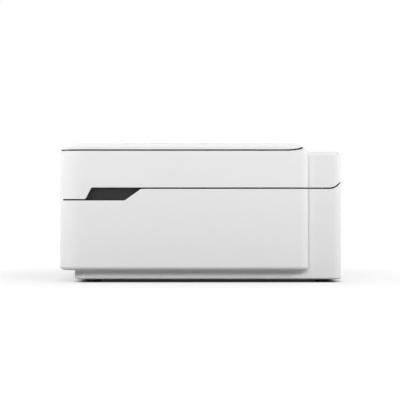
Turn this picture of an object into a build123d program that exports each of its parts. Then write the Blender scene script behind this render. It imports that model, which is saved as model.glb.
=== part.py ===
import math
import os

from build123d import *

os.makedirs("parts", exist_ok=True)

# Casing, in millimetres: the front faces -Y, the printer stands on Z = 0
WIDTH = 400.0
DEPTH = 348.0
HEIGHT = 171.0
WALL = 2.5
FRONT_CORNER = 28.0
SIDE_STEP = 12.0
REAR_PART = 41.4
REAR_CORNER = 10.0
PLINTH_SETBACK = 18.7
PLINTH_CORNER = 14.0
PLINTH_WALL = 10.7
FOOT_HEIGHT = 4.0
BASE_ROUND = 2.2
FOOT_RADIUS = 9.0
SKIRT = 15.2
SKIRT_ROUND = 5.0
OPENING = 313.0
JOINT_GAP = 0.3

# Seams, finger recess and the hinge of the scanner unit
SEAM = 1.8
LOW_SEAM = 101.7
MAIN_SEAM = 115.9
GRIP_START = 33.5
GRIP_LEAN = 7.2
GRIP_FLOOR = 48.0
GRIP_RISE = 19.9
GRIP_ROUND = 2.5
SWEEP_RADIUS = 14.5
SWEEP_START = 15.0
SWEEP_ANGLE = 44.0
SHADOW_WIDTH = 1.6
SHADOW_DEPTH = 1.2
HINGE_RADIUS = 19.2
HINGE_INSET = 14.8
HINGE_BOSS = 6.5
TRUNNION = 3.0
BRACKET_INSET = 10.3
RUN_FIT = 0.08

# Document lid and its lift posts
LID_THICKNESS = 8.5
LID_INSET = 1.5
LID_ROUND = 5.0
LID_AXIS_INSET = 11.1
LID_CURVE = 17.5
NOSE = 3.0
DECK_DROP = 10.6
DECK_CORNER = 7.0
LEDGE_HEIGHT = 2.9
LEDGE_DEPTH = 1.5
LEDGE_END = 4.7
POST_X = 110.0
POST_WIDTH = 17.0
POST_DEPTH = 5.0
POST_GAP = 0.4
LID_PIN = 1.2

# Scanner unit
TOP_PLATE = 3.0
GLASS = 3.0
WINDOW_WIDTH = 299.0
WINDOW_LENGTH = 218.0
GLASS_LAP = 8.0
BASE_RISE = 9.5
SENSOR_TRAVEL = 300.0
SENSOR_WIDTH = 26.0
SCAN_ROD = 3.0
SCAN_MOTOR = 8.0

# Control panel
PANEL_WIDTH = 200.0
PANEL_HEIGHT = 48.0
PANEL_DEPTH = 14.0
PANEL_INSET = 1.0
PANEL_GAP = 1.0
DISPLAY_WIDTH = 96.0
DISPLAY_HEIGHT = 36.0
BUTTON = 6.0
BUTTON_X = -76.0

# Inner frames and paper path
FRAME = 4.0
MID_Z = 53.0
MID_THICKNESS = 3.0
PATH_SHIFT = 22.0
PAPER = 210.0
CASSETTE_Z = 17.8
CASSETTE_WALL = 28.0
CASSETTE_TOP = 55.4
TRAY_WIDTH = 300.0
FEED_INSET = 86.0
FEED_RISE = 10.0
FEED_ROLLER = 4.75
EJECT_ROLLER = 4.0
PINCH_ROLLER = 3.0
STAR_WHEEL = 4.2
PICKUP_ROLLER = 9.0
FEED_MOTOR = 9.0
FEED_MOTOR_LENGTH = 26.0

# Gears of the paper drive
MODULE = 0.8
PRESSURE_ANGLE = 20.0
BACKLASH = 0.28
FEED_TEETH = 38
IDLER_TEETH = 45
EJECT_TEETH = 32
PINION_TEETH = 14
PINION_ANGLE = 30.0
GEAR_FACE = 6.0

# Print carriage and its drive
CARRIAGE_WIDTH = 70.0
CARRIAGE_HOME = 61.0
RAIL = 1.2
BELT = 1.2
BELT_FACE = 5.0
BELT_Z = 104.0
PULLEY = 5.4
FLANGE = 7.5
CARTRIDGES = 4
CARTRIDGE_PITCH = 15.8

# Places that follow from the sizes above
BOX_HALF = WIDTH / 2
CORE_HALF = BOX_HALF - SIDE_STEP
FRONT = -DEPTH / 2
REAR = DEPTH / 2
BOX_REAR = REAR - REAR_PART
PLINTH_FRONT = FRONT + PLINTH_SETBACK
FLOOR = FOOT_HEIGHT + WALL
HALF_SEAM = SEAM / 2
LID_SEAM = HEIGHT - LID_THICKNESS
LID_UNDER = LID_SEAM + HALF_SEAM
COVER_TOP = LID_SEAM - HALF_SEAM
CEILING = COVER_TOP - TOP_PLATE
DECK = HEIGHT - DECK_DROP
GRIP_FRONT = FRONT + GRIP_START
GRIP_REAR = GRIP_FRONT + GRIP_FLOOR
HINGE_Y = REAR - HINGE_INSET
BACK_CUT = REAR + 0.5
HINGE_Z = MAIN_SEAM + HINGE_RADIUS
SWEEP_CENTRE = (REAR - SWEEP_START, MAIN_SEAM + SWEEP_RADIUS)
LID_AXIS_Y = BOX_REAR - LID_AXIS_INSET
LID_AXIS_Z = HEIGHT - NOSE
LID_DROP = LID_AXIS_Z - LID_UNDER
CURVE_RADIUS = (LID_CURVE**2 + LID_DROP**2 - NOSE**2) / (2 * (LID_DROP - NOSE))
CURVE_ANGLE = math.degrees(math.atan2(LID_CURVE, CURVE_RADIUS - LID_DROP))
BASE_Z = MAIN_SEAM + BASE_RISE
FRAME_OUT = CORE_HALF - WALL - JOINT_GAP
FRAME_IN = FRAME_OUT - FRAME
MID_TOP = MID_Z + MID_THICKNESS
PATH_X = -PATH_SHIFT
FEED_Y = REAR - FEED_INSET
FEED_Z = MID_TOP + FEED_RISE
EJECT_Y = FEED_Y - MODULE * (FEED_TEETH + 2 * IDLER_TEETH + EJECT_TEETH) / 2
IDLER_Y = FEED_Y - MODULE * (FEED_TEETH + IDLER_TEETH) / 2
RAIL_Y = FEED_Y + 6
RAIL_TOP = MAIN_SEAM + 6
BELT_Y = RAIL_Y - 7
CARRIAGE_X = FRAME_IN - CARRIAGE_HOME
CARRIAGE_FRONT = EJECT_Y + 6
CARRIAGE_BACK = FEED_Y - 12
CARRIAGE_Z = FEED_Z + 7
OPEN_HALF = OPENING / 2
TRAY_HALF = TRAY_WIDTH / 2


def block(x, y, z, mode=Mode.ADD):
    """Rectangular block between the low and high ends of three spans."""
    spans = (x, y, z)
    with Locations(tuple((low + high) / 2 for low, high in spans)):
        Box(*(high - low for low, high in spans), mode=mode)


def plan_outline(half_width, front, rear, front_radius, rear_radius):
    """Plan of a housing with rounded upright corners, as a face of the open sketch."""
    with BuildLine() as outline:
        FilletPolyline(
            (-half_width, front),
            (half_width, front),
            (half_width, rear),
            (-half_width, rear),
            radius=(front_radius, front_radius, rear_radius, rear_radius),
            close=True,
        )
    make_face(outline.edges())


def profile_along_x(x, points, radius=0.0, mode=Mode.ADD):
    """Side profile, given as (y, z) corners, drawn out between two places along X."""
    with BuildSketch(Plane.YZ.offset(x[0])) as section:
        with BuildLine():
            FilletPolyline(*points, radius=radius, close=True)
        make_face()
    extrude(section.sketch, amount=x[1] - x[0], mode=mode)


def rod_along_x(x, y, z, radius, mode=Mode.ADD):
    """Round bar or bore along X."""
    with BuildSketch(Plane.YZ.offset(x[0])) as section:
        with Locations((y, z)):
            Circle(radius)
    extrude(section.sketch, amount=x[1] - x[0], mode=mode)


def rod_along_y(x, y, z, radius, mode=Mode.ADD):
    """Round bar or bore along Y."""
    with BuildSketch(Plane(origin=(x, y[0], z), x_dir=(1, 0, 0), z_dir=(0, 1, 0))) as section:
        Circle(radius)
    extrude(section.sketch, amount=y[1] - y[0], mode=mode)


def rod_along_z(x, y, z, radius, mode=Mode.ADD):
    """Round bar or bore along Z."""
    with BuildSketch(Plane.XY.offset(z[0])) as section:
        with Locations((x, y)):
            Circle(radius)
    extrude(section.sketch, amount=z[1] - z[0], mode=mode)


def involute(angle):
    """Involute function of an angle in radians."""
    return math.tan(angle) - angle


def gear_points(teeth, phase):
    """Outline of an involute gear about its centre, with a tooth centred on the phase angle."""
    pressure = math.radians(PRESSURE_ANGLE)
    pitch = MODULE * teeth / 2
    base = pitch * math.cos(pressure)
    tip = pitch + 0.9 * MODULE
    root = pitch - 1.25 * MODULE
    half_tooth = (math.pi * MODULE - BACKLASH) / (4 * pitch)
    start = max(base, root + 0.02)
    flank = []
    for radius in (start, (start + pitch) / 2 + 0.1 * MODULE, tip):
        flank.append((radius, half_tooth + involute(pressure) - involute(math.acos(base / radius))))
    outline = []
    for tooth in range(teeth):
        middle = math.radians(phase) + 2 * math.pi * tooth / teeth
        left = [(root, -flank[0][1])] + [(radius, -angle) for radius, angle in flank]
        right = [(radius, -angle) for radius, angle in reversed(left)]
        for radius, angle in left + right:
            outline.append((radius * math.cos(middle + angle), radius * math.sin(middle + angle)))
    return outline


def meshed_phase(teeth, phase, direction, other_teeth):
    """Phase of a gear that meshes with one of known phase, standing in a direction from it."""
    pitch = 360 / teeth
    fraction = ((direction - phase) / pitch) % 1
    return direction + 180 + (fraction + 0.5) * 360 / other_teeth


def gear(x, centre, teeth, phase, bore):
    """Spur gear drawn out along X with a round bore."""
    with BuildSketch(Plane(origin=(x[0], *centre), x_dir=(0, 1, 0), z_dir=(1, 0, 0))) as section:
        Polygon(*gear_points(teeth, phase), align=None)
        Circle(bore, mode=Mode.SUBTRACT)
    extrude(section.sketch, amount=x[1] - x[0])


def sweep_end(arc):
    """Point behind the printer that the rear sweep of the main seam runs out to."""
    away = BACK_CUT - (arc @ 1).X
    return (BACK_CUT, (arc @ 1).Y + away * math.tan(math.radians(SWEEP_ANGLE)))


def scanner_profile():
    """Side outline of the scanner unit, from the finger recess to the socket of the lid."""
    with BuildLine() as outline:
        round_back = CenterArc(SWEEP_CENTRE, SWEEP_RADIUS - HALF_SEAM, 270, SWEEP_ANGLE)
        run_out = Line(round_back @ 1, sweep_end(round_back))
        rise = CenterArc(
            (LID_AXIS_Y - LID_CURVE, LID_UNDER + CURVE_RADIUS), CURVE_RADIUS + SEAM, 270, CURVE_ANGLE
        )
        socket = CenterArc((LID_AXIS_Y, LID_AXIS_Z), NOSE + SEAM, 270 + CURVE_ANGLE, 60 - CURVE_ANGLE)
        FilletPolyline(
            run_out @ 1,
            (BACK_CUT, DECK),
            (BOX_REAR, DECK),
            (BOX_REAR - 6, (socket @ 1).Y),
            socket @ 1,
            radius=(DECK_CORNER, 4, 1.5),
        )
        front_edge = Polyline(rise @ 0, (FRONT, COVER_TOP), (FRONT, LOW_SEAM + HALF_SEAM))
        FilletPolyline(
            front_edge @ 1,
            (GRIP_FRONT, LOW_SEAM + HALF_SEAM),
            (GRIP_FRONT + GRIP_LEAN, MAIN_SEAM + HALF_SEAM),
            round_back @ 0,
            radius=GRIP_ROUND,
        )
    make_face(outline.edges())


# Lower case: plinth, floor and rear walls in one moulding, with runners for the cassette
BACK_LEFT = PATH_X - PAPER / 2 - 23
BACK_RIGHT = PATH_X + PAPER / 2 + 23
BACK_LOW = 24.0
BACK_HIGH = LOW_SEAM + 1
RUNNER_TOP = CASSETTE_Z - JOINT_GAP
SUPPLY_X = (-FRAME_IN + 1.5, BACK_LEFT - 3)
INLET_X = (SUPPLY_X[0] + SUPPLY_X[1]) / 2
INLET_Z = 28.0
BOARD_X = (BACK_RIGHT + 6, FRAME_IN - 3)
BOARD_Y = (REAR - 160, REAR - 10)
BOARD_Z = FLOOR + 4
SOCKET_X = BOARD_X[0] + 34
with BuildPart() as lower_case:
    with BuildSketch(Plane.XY.offset(FOOT_HEIGHT)):
        plan_outline(CORE_HALF, PLINTH_FRONT, REAR, PLINTH_CORNER, REAR_CORNER)
    extrude(amount=HINGE_Z - FOOT_HEIGHT)
    fillet(lower_case.edges().group_by(Axis.Z)[0], BASE_ROUND)
    with BuildSketch(Plane.XY.offset(FLOOR)):
        plan_outline(
            CORE_HALF - WALL, PLINTH_FRONT + WALL, REAR - WALL, PLINTH_CORNER - WALL, REAR_CORNER - WALL
        )
    extrude(amount=HINGE_Z, mode=Mode.SUBTRACT)
    with BuildSketch(Plane.YZ):
        with BuildLine():
            back_edge = CenterArc(SWEEP_CENTRE, SWEEP_RADIUS + HALF_SEAM, 270, SWEEP_ANGLE)
            Polyline(
                back_edge @ 1,
                sweep_end(back_edge),
                (BACK_CUT, HEIGHT),
                (PLINTH_FRONT - 1, HEIGHT),
                (PLINTH_FRONT - 1, FLOOR + PLINTH_WALL),
                (BOX_REAR - 14, FLOOR + PLINTH_WALL),
                (BOX_REAR - 14, MAIN_SEAM - HALF_SEAM),
                back_edge @ 0,
            )
        make_face()
    extrude(amount=WIDTH, both=True, mode=Mode.SUBTRACT)
    block((BACK_LEFT, BACK_RIGHT), (REAR - 2 * WALL, REAR + 1), (BACK_LOW, BACK_HIGH), Mode.SUBTRACT)
    with BuildSketch(Plane(origin=(INLET_X, REAR - WALL, INLET_Z), x_dir=(1, 0, 0), z_dir=(0, 1, 0))):
        SlotOverall(18, 11)
    extrude(amount=2 * WALL, mode=Mode.SUBTRACT)
    block(
        (SOCKET_X - 6.6, SOCKET_X + 6.6), (REAR - 2 * WALL, REAR + 1), (BOARD_Z + 1, BOARD_Z + 13.5), Mode.SUBTRACT
    )
    with BuildSketch(Plane(origin=(INLET_X, REAR - WALL, MAIN_SEAM - 40), x_dir=(1, 0, 0), z_dir=(0, 1, 0))):
        with GridLocations(1, 7, 1, 6):
            SlotOverall(20, 3)
    extrude(amount=2 * WALL, mode=Mode.SUBTRACT)
    with BuildSketch(Plane.XY.offset(FOOT_HEIGHT)):
        with Locations((INLET_X, REAR - 78)):
            with GridLocations(1, 9, 1, 8):
                SlotOverall(20, 3)
    extrude(amount=WALL, mode=Mode.SUBTRACT)
    with BuildSketch(Plane.XY.offset(FOOT_HEIGHT)):
        with Locations((0, (PLINTH_FRONT + REAR) / 2)):
            with GridLocations(CORE_HALF, REAR - PLINTH_FRONT - 40, 2, 2):
                Circle(4)
    extrude(amount=WALL - 1, mode=Mode.SUBTRACT)
    for side in (-1, 1):
        groove = sorted((side * (CORE_HALF - SHADOW_DEPTH), side * (CORE_HALF + 1)))
        block(groove, (BOX_REAR, BOX_REAR + SHADOW_WIDTH), (FLOOR + PLINTH_WALL, HEIGHT), Mode.SUBTRACT)
        runner = PATH_X + side * (PAPER / 2 + 5)
        block((runner - 1.5, runner + 1.5), (PLINTH_FRONT + WALL, BOX_REAR), (FLOOR, RUNNER_TOP))
    for x in BOARD_X:
        for y in BOARD_Y:
            inset_x = x + math.copysign(5, sum(BOARD_X) / 2 - x)
            inset_y = y + math.copysign(5, sum(BOARD_Y) / 2 - y)
            rod_along_z(inset_x, inset_y, (FLOOR, BOARD_Z), 3)
lower_case.part.label = "lower_case"
export_step(lower_case.part, "parts/lower_case.step")

# Rubber feet under the plinth
with BuildPart() as feet:
    with BuildSketch(Plane.XY):
        with Locations((0, (PLINTH_FRONT + REAR) / 2)):
            with GridLocations(2 * CORE_HALF - 46, REAR - PLINTH_FRONT - 46, 2, 2):
                Circle(FOOT_RADIUS)
    extrude(amount=FOOT_HEIGHT)
    chamfer(feet.edges().group_by(Axis.Z)[0], 0.8)
feet.part.label = "feet"
export_step(feet.part, "parts/feet.step")

# Side covers: outer wall, rounded front return, flange under the skirt
with BuildPart() as right_side_cover:
    with BuildSketch(Plane.XY.offset(SKIRT)):
        plan_outline(BOX_HALF, FRONT, BOX_REAR, FRONT_CORNER, SIDE_STEP)
    extrude(amount=MAIN_SEAM - SKIRT)
    fillet(right_side_cover.edges().group_by(Axis.Z)[0], SKIRT_ROUND)
    with BuildSketch(Plane.XY.offset(SKIRT + WALL)):
        plan_outline(BOX_HALF - WALL, FRONT + WALL, BOX_REAR - WALL, FRONT_CORNER - WALL, SIDE_STEP - WALL)
    extrude(amount=HEIGHT, mode=Mode.SUBTRACT)
    with BuildSketch(Plane.XY.offset(SKIRT)):
        plan_outline(
            CORE_HALF + JOINT_GAP, PLINTH_FRONT - JOINT_GAP, REAR, PLINTH_CORNER + JOINT_GAP, REAR_CORNER
        )
    extrude(amount=HEIGHT, mode=Mode.SUBTRACT)
    block((-BOX_HALF, OPEN_HALF), (FRONT, REAR), (0, HEIGHT), Mode.SUBTRACT)
    profile_along_x(
        (0, WIDTH),
        [
            (FRONT - 1, LOW_SEAM - HALF_SEAM),
            (GRIP_REAR, LOW_SEAM - HALF_SEAM),
            (GRIP_REAR + GRIP_RISE, MAIN_SEAM - HALF_SEAM),
            (REAR, MAIN_SEAM - HALF_SEAM),
            (REAR, HEIGHT),
            (FRONT - 1, HEIGHT),
        ],
        (0, 5, 3, 0, 0, 0),
        Mode.SUBTRACT,
    )
right_side_cover.part.label = "right_side_cover"
export_step(right_side_cover.part, "parts/right_side_cover.step")

with BuildPart() as left_side_cover:
    add(mirror(right_side_cover.part, about=Plane.YZ, mode=Mode.PRIVATE))
left_side_cover.part.label = "left_side_cover"
export_step(left_side_cover.part, "parts/left_side_cover.step")


# Side frames: plates on the floor that carry the rollers, the rail and the finger shelves
GEAR_X = (-FRAME_OUT - 2 - GEAR_FACE, -FRAME_OUT - 2)
SHADE_TOP = MAIN_SEAM + 0.9
PINION_REACH = MODULE * (FEED_TEETH + PINION_TEETH) / 2
PINION_Y = FEED_Y + PINION_REACH * math.cos(math.radians(PINION_ANGLE))
PINION_Z = FEED_Z + PINION_REACH * math.sin(math.radians(PINION_ANGLE))
FRAME_RIB = 6
FRAME_RIB_PITCH = 30


def side_frame(side):
    """Upright plate of one side with its stiffening ribs, roller bores and finger shelf."""
    plate = sorted((side * FRAME_IN, side * FRAME_OUT))
    shelf = sorted((side * FRAME_OUT, side * (BOX_HALF - WALL)))
    profile_along_x(
        plate,
        [
            (FRONT + 40, FLOOR),
            (BOX_REAR - 16, FLOOR),
            (BOX_REAR - 16, LOW_SEAM - 16),
            (HINGE_Y - 9, LOW_SEAM - 4),
            (HINGE_Y - 9, SHADE_TOP),
            (FEED_Y + 20, SHADE_TOP),
            (FEED_Y + 16, RAIL_TOP + 2),
            (FEED_Y - 14, RAIL_TOP + 2),
            (FEED_Y - 18, SHADE_TOP),
            (FRONT + 24, SHADE_TOP),
            (FRONT + 24, FLOOR + 20),
        ],
        (3, 3, 3, 3, 0, 1, 1, 1, 1, 3, 3),
    )
    ribs = sorted((side * (FRAME_IN - FRAME_RIB), side * FRAME_IN))
    for place in range(5):
        rib = FRONT + 40 + place * FRAME_RIB_PITCH
        block(ribs, (rib, rib + 2), (MID_TOP + 2, LOW_SEAM - 6))
    block(ribs, (FRONT + 40, FRONT + 42 + 4 * FRAME_RIB_PITCH), (LOW_SEAM - 8, LOW_SEAM - 6))
    profile_along_x(
        shelf,
        [
            (GRIP_FRONT - 4, LOW_SEAM - 5),
            (GRIP_REAR + GRIP_RISE + 8, LOW_SEAM - 5),
            (GRIP_REAR + GRIP_RISE + 8, LOW_SEAM - 2.5),
            (GRIP_FRONT - 4, LOW_SEAM - 2.5),
        ],
    )
    rod_along_x(plate, FEED_Y, FEED_Z, FEED_ROLLER + RUN_FIT, Mode.SUBTRACT)
    rod_along_x(plate, EJECT_Y, FEED_Z, PINCH_ROLLER + RUN_FIT, Mode.SUBTRACT)


with BuildPart() as frame_right:
    side_frame(1)
frame_right.part.label = "frame_right"
export_step(frame_right.part, "parts/frame_right.step")

with BuildPart() as frame_left:
    side_frame(-1)
    rod_along_x((-FRAME_OUT, -FRAME_IN), PINION_Y, PINION_Z, 3.5, Mode.SUBTRACT)
    rod_along_x((GEAR_X[0] - 0.5, -FRAME_OUT), IDLER_Y, FEED_Z, 2.5)
frame_left.part.label = "frame_left"
export_step(frame_left.part, "parts/frame_left.step")

# Middle frame: deck over the cassette with the walls of the output bay and the lugs of the pickup arm
ARM_Y = FEED_Y - 26
ARM_Z = MID_Z - 6.5
BAY = OPEN_HALF + 0.5
BAY_REAR = EJECT_Y - 14
BAY_TOP = LOW_SEAM + 4
with BuildPart() as mid_frame:
    block((-FRAME_IN, FRAME_IN), (FRONT + 24, FEED_Y + 14), (MID_Z, MID_TOP))
    block((-BAY, BAY), (FRONT + 6, FRONT + 24), (MID_Z, MID_TOP))
    for side in (-1, 1):
        wall = sorted((side * BAY, side * (BAY + WALL)))
        profile_along_x(
            wall,
            [
                (FRONT + WALL + 0.5, MID_Z),
                (BAY_REAR, MID_Z),
                (BAY_REAR, BAY_TOP - 12),
                (BAY_REAR - 12, BAY_TOP),
                (FRONT + WALL + 0.5, BAY_TOP),
            ],
        )
        lug = sorted((PATH_X + side * 20.5, PATH_X + side * 25))
        profile_along_x(
            lug,
            [(ARM_Y - 7, MID_Z), (ARM_Y - 4.5, ARM_Z - 4.5), (ARM_Y + 4.5, ARM_Z - 4.5), (ARM_Y + 7, MID_Z)],
        )
        rod_along_x(lug, ARM_Y, ARM_Z, 2.5 + RUN_FIT, Mode.SUBTRACT)
    with BuildSketch(Plane.XY.offset(MID_Z)):
        with Locations((PATH_X, ARM_Y + 27)):
            RectangleRounded(70, 20, 3)
    extrude(amount=MID_THICKNESS, mode=Mode.SUBTRACT)
mid_frame.part.label = "mid_frame"
export_step(mid_frame.part, "parts/mid_frame.step")

# Carriage rail: folded steel sheet between the side frames
DRIVE_X = -FRAME_IN + 15
TENSION_X = FRAME_IN - 13
with BuildPart() as carriage_rail:
    profile_along_x(
        (-FRAME_IN, FRAME_IN),
        [
            (RAIL_Y, FEED_Z - 3),
            (RAIL_Y + 10, FEED_Z - 3),
            (RAIL_Y + 10, FEED_Z - 3 + RAIL),
            (RAIL_Y + RAIL, FEED_Z - 3 + RAIL),
            (RAIL_Y + RAIL, RAIL_TOP),
            (RAIL_Y - 14, RAIL_TOP),
            (RAIL_Y - 14, RAIL_TOP - RAIL),
            (RAIL_Y, RAIL_TOP - RAIL),
        ],
    )
    with BuildSketch(Plane(origin=(0, RAIL_Y, BELT_Z), x_dir=(1, 0, 0), z_dir=(0, 1, 0))):
        with Locations((DRIVE_X, 0)):
            Circle(5)
        with GridLocations(70, 1, 4, 1):
            SlotOverall(36, 9)
    extrude(amount=RAIL, mode=Mode.SUBTRACT)
    rod_along_y(TENSION_X, (BELT_Y - 3.6, RAIL_Y), BELT_Z, 2)
    motor_room = (-FRAME_IN, -FRAME_IN + FEED_MOTOR_LENGTH + 1)
    rod_along_x(motor_room, PINION_Y, PINION_Z, FEED_MOTOR + 1, Mode.SUBTRACT)
carriage_rail.part.label = "carriage_rail"
export_step(carriage_rail.part, "parts/carriage_rail.step")

# Carriage motor behind the rail, with its shaft through the sheet
with BuildPart() as carriage_motor:
    rod_along_y(DRIVE_X, (RAIL_Y + RAIL, RAIL_Y + RAIL + 26), BELT_Z, 12)
    fillet(carriage_motor.edges().group_by(Axis.Y)[-1], 2)
    rod_along_y(DRIVE_X, (RAIL_Y + RAIL + 26, RAIL_Y + RAIL + 28), BELT_Z, 4)
    rod_along_y(DRIVE_X, (BELT_Y - 3.6, RAIL_Y + RAIL), BELT_Z, 1.5)
carriage_motor.part.label = "carriage_motor"
export_step(carriage_motor.part, "parts/carriage_motor.step")


def belt_pulley(x, bore):
    """Flanged pulley of the carriage belt, turning about Y."""
    rod_along_y(x, (BELT_Y - BELT_FACE / 2 - 1, BELT_Y + BELT_FACE / 2 + 1), BELT_Z, PULLEY)
    for edge in (BELT_Y - BELT_FACE / 2 - 1, BELT_Y + BELT_FACE / 2 + 0.4):
        rod_along_y(x, (edge, edge + 0.6), BELT_Z, FLANGE)
    rod_along_y(x, (BELT_Y - BELT_FACE, BELT_Y + BELT_FACE), BELT_Z, bore, Mode.SUBTRACT)


with BuildPart() as drive_pulley:
    belt_pulley(DRIVE_X, 1.5 + RUN_FIT)
drive_pulley.part.label = "drive_pulley"
export_step(drive_pulley.part, "parts/drive_pulley.step")

with BuildPart() as idler_pulley:
    belt_pulley(TENSION_X, 2 + RUN_FIT)
idler_pulley.part.label = "idler_pulley"
export_step(idler_pulley.part, "parts/idler_pulley.step")

with BuildPart() as carriage_belt:
    with BuildSketch(
        Plane(origin=((DRIVE_X + TENSION_X) / 2, BELT_Y - BELT_FACE / 2, BELT_Z), x_dir=(1, 0, 0), z_dir=(0, 1, 0))
    ):
        SlotCenterToCenter(TENSION_X - DRIVE_X, 2 * (PULLEY + JOINT_GAP + BELT))
        SlotCenterToCenter(TENSION_X - DRIVE_X, 2 * (PULLEY + JOINT_GAP), mode=Mode.SUBTRACT)
    extrude(amount=BELT_FACE)
carriage_belt.part.label = "carriage_belt"
export_step(carriage_belt.part, "parts/carriage_belt.step")

# Print carriage: pocketed holder that hangs under the rail and grips the lower belt run
CARRIAGE_X_SPAN = (CARRIAGE_X - CARRIAGE_WIDTH / 2, CARRIAGE_X + CARRIAGE_WIDTH / 2)
CARRIAGE_TOP = RAIL_TOP - RAIL - 0.5
RUN_LOW = BELT_Z - PULLEY - JOINT_GAP - BELT
RUN_HIGH = BELT_Z + PULLEY + JOINT_GAP + BELT
POCKET_Z = CARRIAGE_Z + 4
with BuildPart() as print_carriage:
    profile_along_x(
        CARRIAGE_X_SPAN,
        [
            (CARRIAGE_FRONT, CARRIAGE_Z),
            (CARRIAGE_BACK, CARRIAGE_Z),
            (CARRIAGE_BACK, CARRIAGE_Z + 14),
            (RAIL_Y - 0.5, CARRIAGE_Z + 14),
            (RAIL_Y - 0.5, CARRIAGE_TOP),
            (CARRIAGE_BACK - 4, CARRIAGE_TOP),
            (CARRIAGE_FRONT, CARRIAGE_TOP - 12),
        ],
        (2, 2, 1, 1, 1, 2, 3),
    )
    block(
        (CARRIAGE_X_SPAN[0] + 2.5, CARRIAGE_X_SPAN[1] - 2.5),
        (CARRIAGE_FRONT + 2.5, CARRIAGE_BACK - 2.5),
        (POCKET_Z, HEIGHT),
        Mode.SUBTRACT,
    )
    block(
        CARRIAGE_X_SPAN,
        (BELT_Y - BELT_FACE / 2 - 1.5, BELT_Y + BELT_FACE / 2 + 1.5),
        (RUN_LOW - JOINT_GAP, RUN_HIGH + 1.5),
        Mode.SUBTRACT,
    )
    block(
        (CARRIAGE_X - 9, CARRIAGE_X + 9),
        (BELT_Y - BELT_FACE / 2 - 1.5, BELT_Y + BELT_FACE / 2 + 1.5),
        (RUN_LOW + BELT + JOINT_GAP, RUN_LOW + BELT + 4),
    )
print_carriage.part.label = "print_carriage"
export_step(print_carriage.part, "parts/print_carriage.step")

with BuildPart() as print_head:
    with BuildSketch(Plane.XY.offset(CARRIAGE_Z)):
        with Locations((CARRIAGE_X, (CARRIAGE_FRONT + CARRIAGE_BACK) / 2)):
            RectangleRounded(44, 30, 2)
    extrude(amount=-2.2, taper=20)
print_head.part.label = "print_head"
export_step(print_head.part, "parts/print_head.step")

# Ink cartridges: four alike, each with a lever tab in front
CARTRIDGE_TOP = CARRIAGE_TOP + 3
with BuildPart() as ink_cartridges:
    for place in range(CARTRIDGES):
        middle = CARRIAGE_X + (place - (CARTRIDGES - 1) / 2) * CARTRIDGE_PITCH
        profile_along_x(
            (middle - CARTRIDGE_PITCH / 2 + 0.6, middle + CARTRIDGE_PITCH / 2 - 0.6),
            [
                (CARRIAGE_FRONT + 3.5, POCKET_Z),
                (CARRIAGE_BACK - 3, POCKET_Z),
                (CARRIAGE_BACK - 3, CARTRIDGE_TOP),
                (CARRIAGE_FRONT + 12, CARTRIDGE_TOP),
                (CARRIAGE_FRONT + 12, CARTRIDGE_TOP - 9),
                (CARRIAGE_FRONT + 3.5, CARTRIDGE_TOP - 12),
            ],
            (1, 1, 1.5, 1.5, 3, 1.5),
        )
ink_cartridges.part.label = "ink_cartridges"
export_step(ink_cartridges.part, "parts/ink_cartridges.step")

# Platen: ribbed bed under the print head, on the middle frame
PLATEN_X = (PATH_X - PAPER / 2 - 3, PATH_X + PAPER / 2 + 2)
with BuildPart() as platen:
    profile_along_x(
        PLATEN_X,
        [
            (CARRIAGE_FRONT + 1, MID_TOP),
            (CARRIAGE_BACK + 3, MID_TOP),
            (CARRIAGE_BACK + 3, FEED_Z - 3),
            (CARRIAGE_BACK - 3, FEED_Z),
            (CARRIAGE_FRONT + 5, FEED_Z),
            (CARRIAGE_FRONT + 1, FEED_Z - 3),
        ],
    )
    block(
        (PLATEN_X[0] + 2.5, PLATEN_X[1] - 2.5),
        (CARRIAGE_FRONT + 4, CARRIAGE_BACK),
        (MID_TOP, FEED_Z - 2.5),
        Mode.SUBTRACT,
    )
    for rib in range(12):
        middle = PLATEN_X[0] + 6 + rib * (PLATEN_X[1] - PLATEN_X[0] - 12) / 11
        profile_along_x(
            (middle - 0.6, middle + 0.6),
            [
                (CARRIAGE_FRONT + 5, FEED_Z),
                (CARRIAGE_BACK - 3, FEED_Z),
                (CARRIAGE_BACK - 6, FEED_Z + 2),
                (CARRIAGE_FRONT + 9, FEED_Z + 2),
            ],
        )
platen.part.label = "platen"
export_step(platen.part, "parts/platen.step")

# Capping station under the parked carriage, with a raised sealing lip
with BuildPart() as capping_station:
    profile_along_x(
        (CARRIAGE_X_SPAN[0] + 3, CARRIAGE_X_SPAN[1] + 8),
        [
            (CARRIAGE_FRONT + 2, MID_TOP),
            (CARRIAGE_BACK + 2, MID_TOP),
            (CARRIAGE_BACK + 2, FEED_Z - 2),
            (CARRIAGE_BACK - 4, FEED_Z + 1),
            (CARRIAGE_FRONT + 2, FEED_Z + 1),
        ],
    )
    with BuildSketch(Plane.XY.offset(FEED_Z + 1)):
        with Locations((CARRIAGE_X, (CARRIAGE_FRONT + CARRIAGE_BACK) / 2)):
            RectangleRounded(40, 26, 3)
            RectangleRounded(36, 22, 2, mode=Mode.SUBTRACT)
    extrude(amount=3.4)
    with BuildSketch(Plane.XY.offset(FEED_Z + 1)):
        with Locations((CARRIAGE_X, (CARRIAGE_FRONT + CARRIAGE_BACK) / 2)):
            RectangleRounded(36, 22, 2)
    extrude(amount=-2, mode=Mode.SUBTRACT)
capping_station.part.label = "capping_station"
export_step(capping_station.part, "parts/capping_station.step")

# Feed roller and its gear outside the left frame
with BuildPart() as feed_roller:
    rod_along_x((GEAR_X[1] + 1, FRAME_OUT), FEED_Y, FEED_Z, FEED_ROLLER)
    rod_along_x((GEAR_X[0] - 1, GEAR_X[1] + 1), FEED_Y, FEED_Z, 3)
feed_roller.part.label = "feed_roller"
export_step(feed_roller.part, "parts/feed_roller.step")

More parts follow.
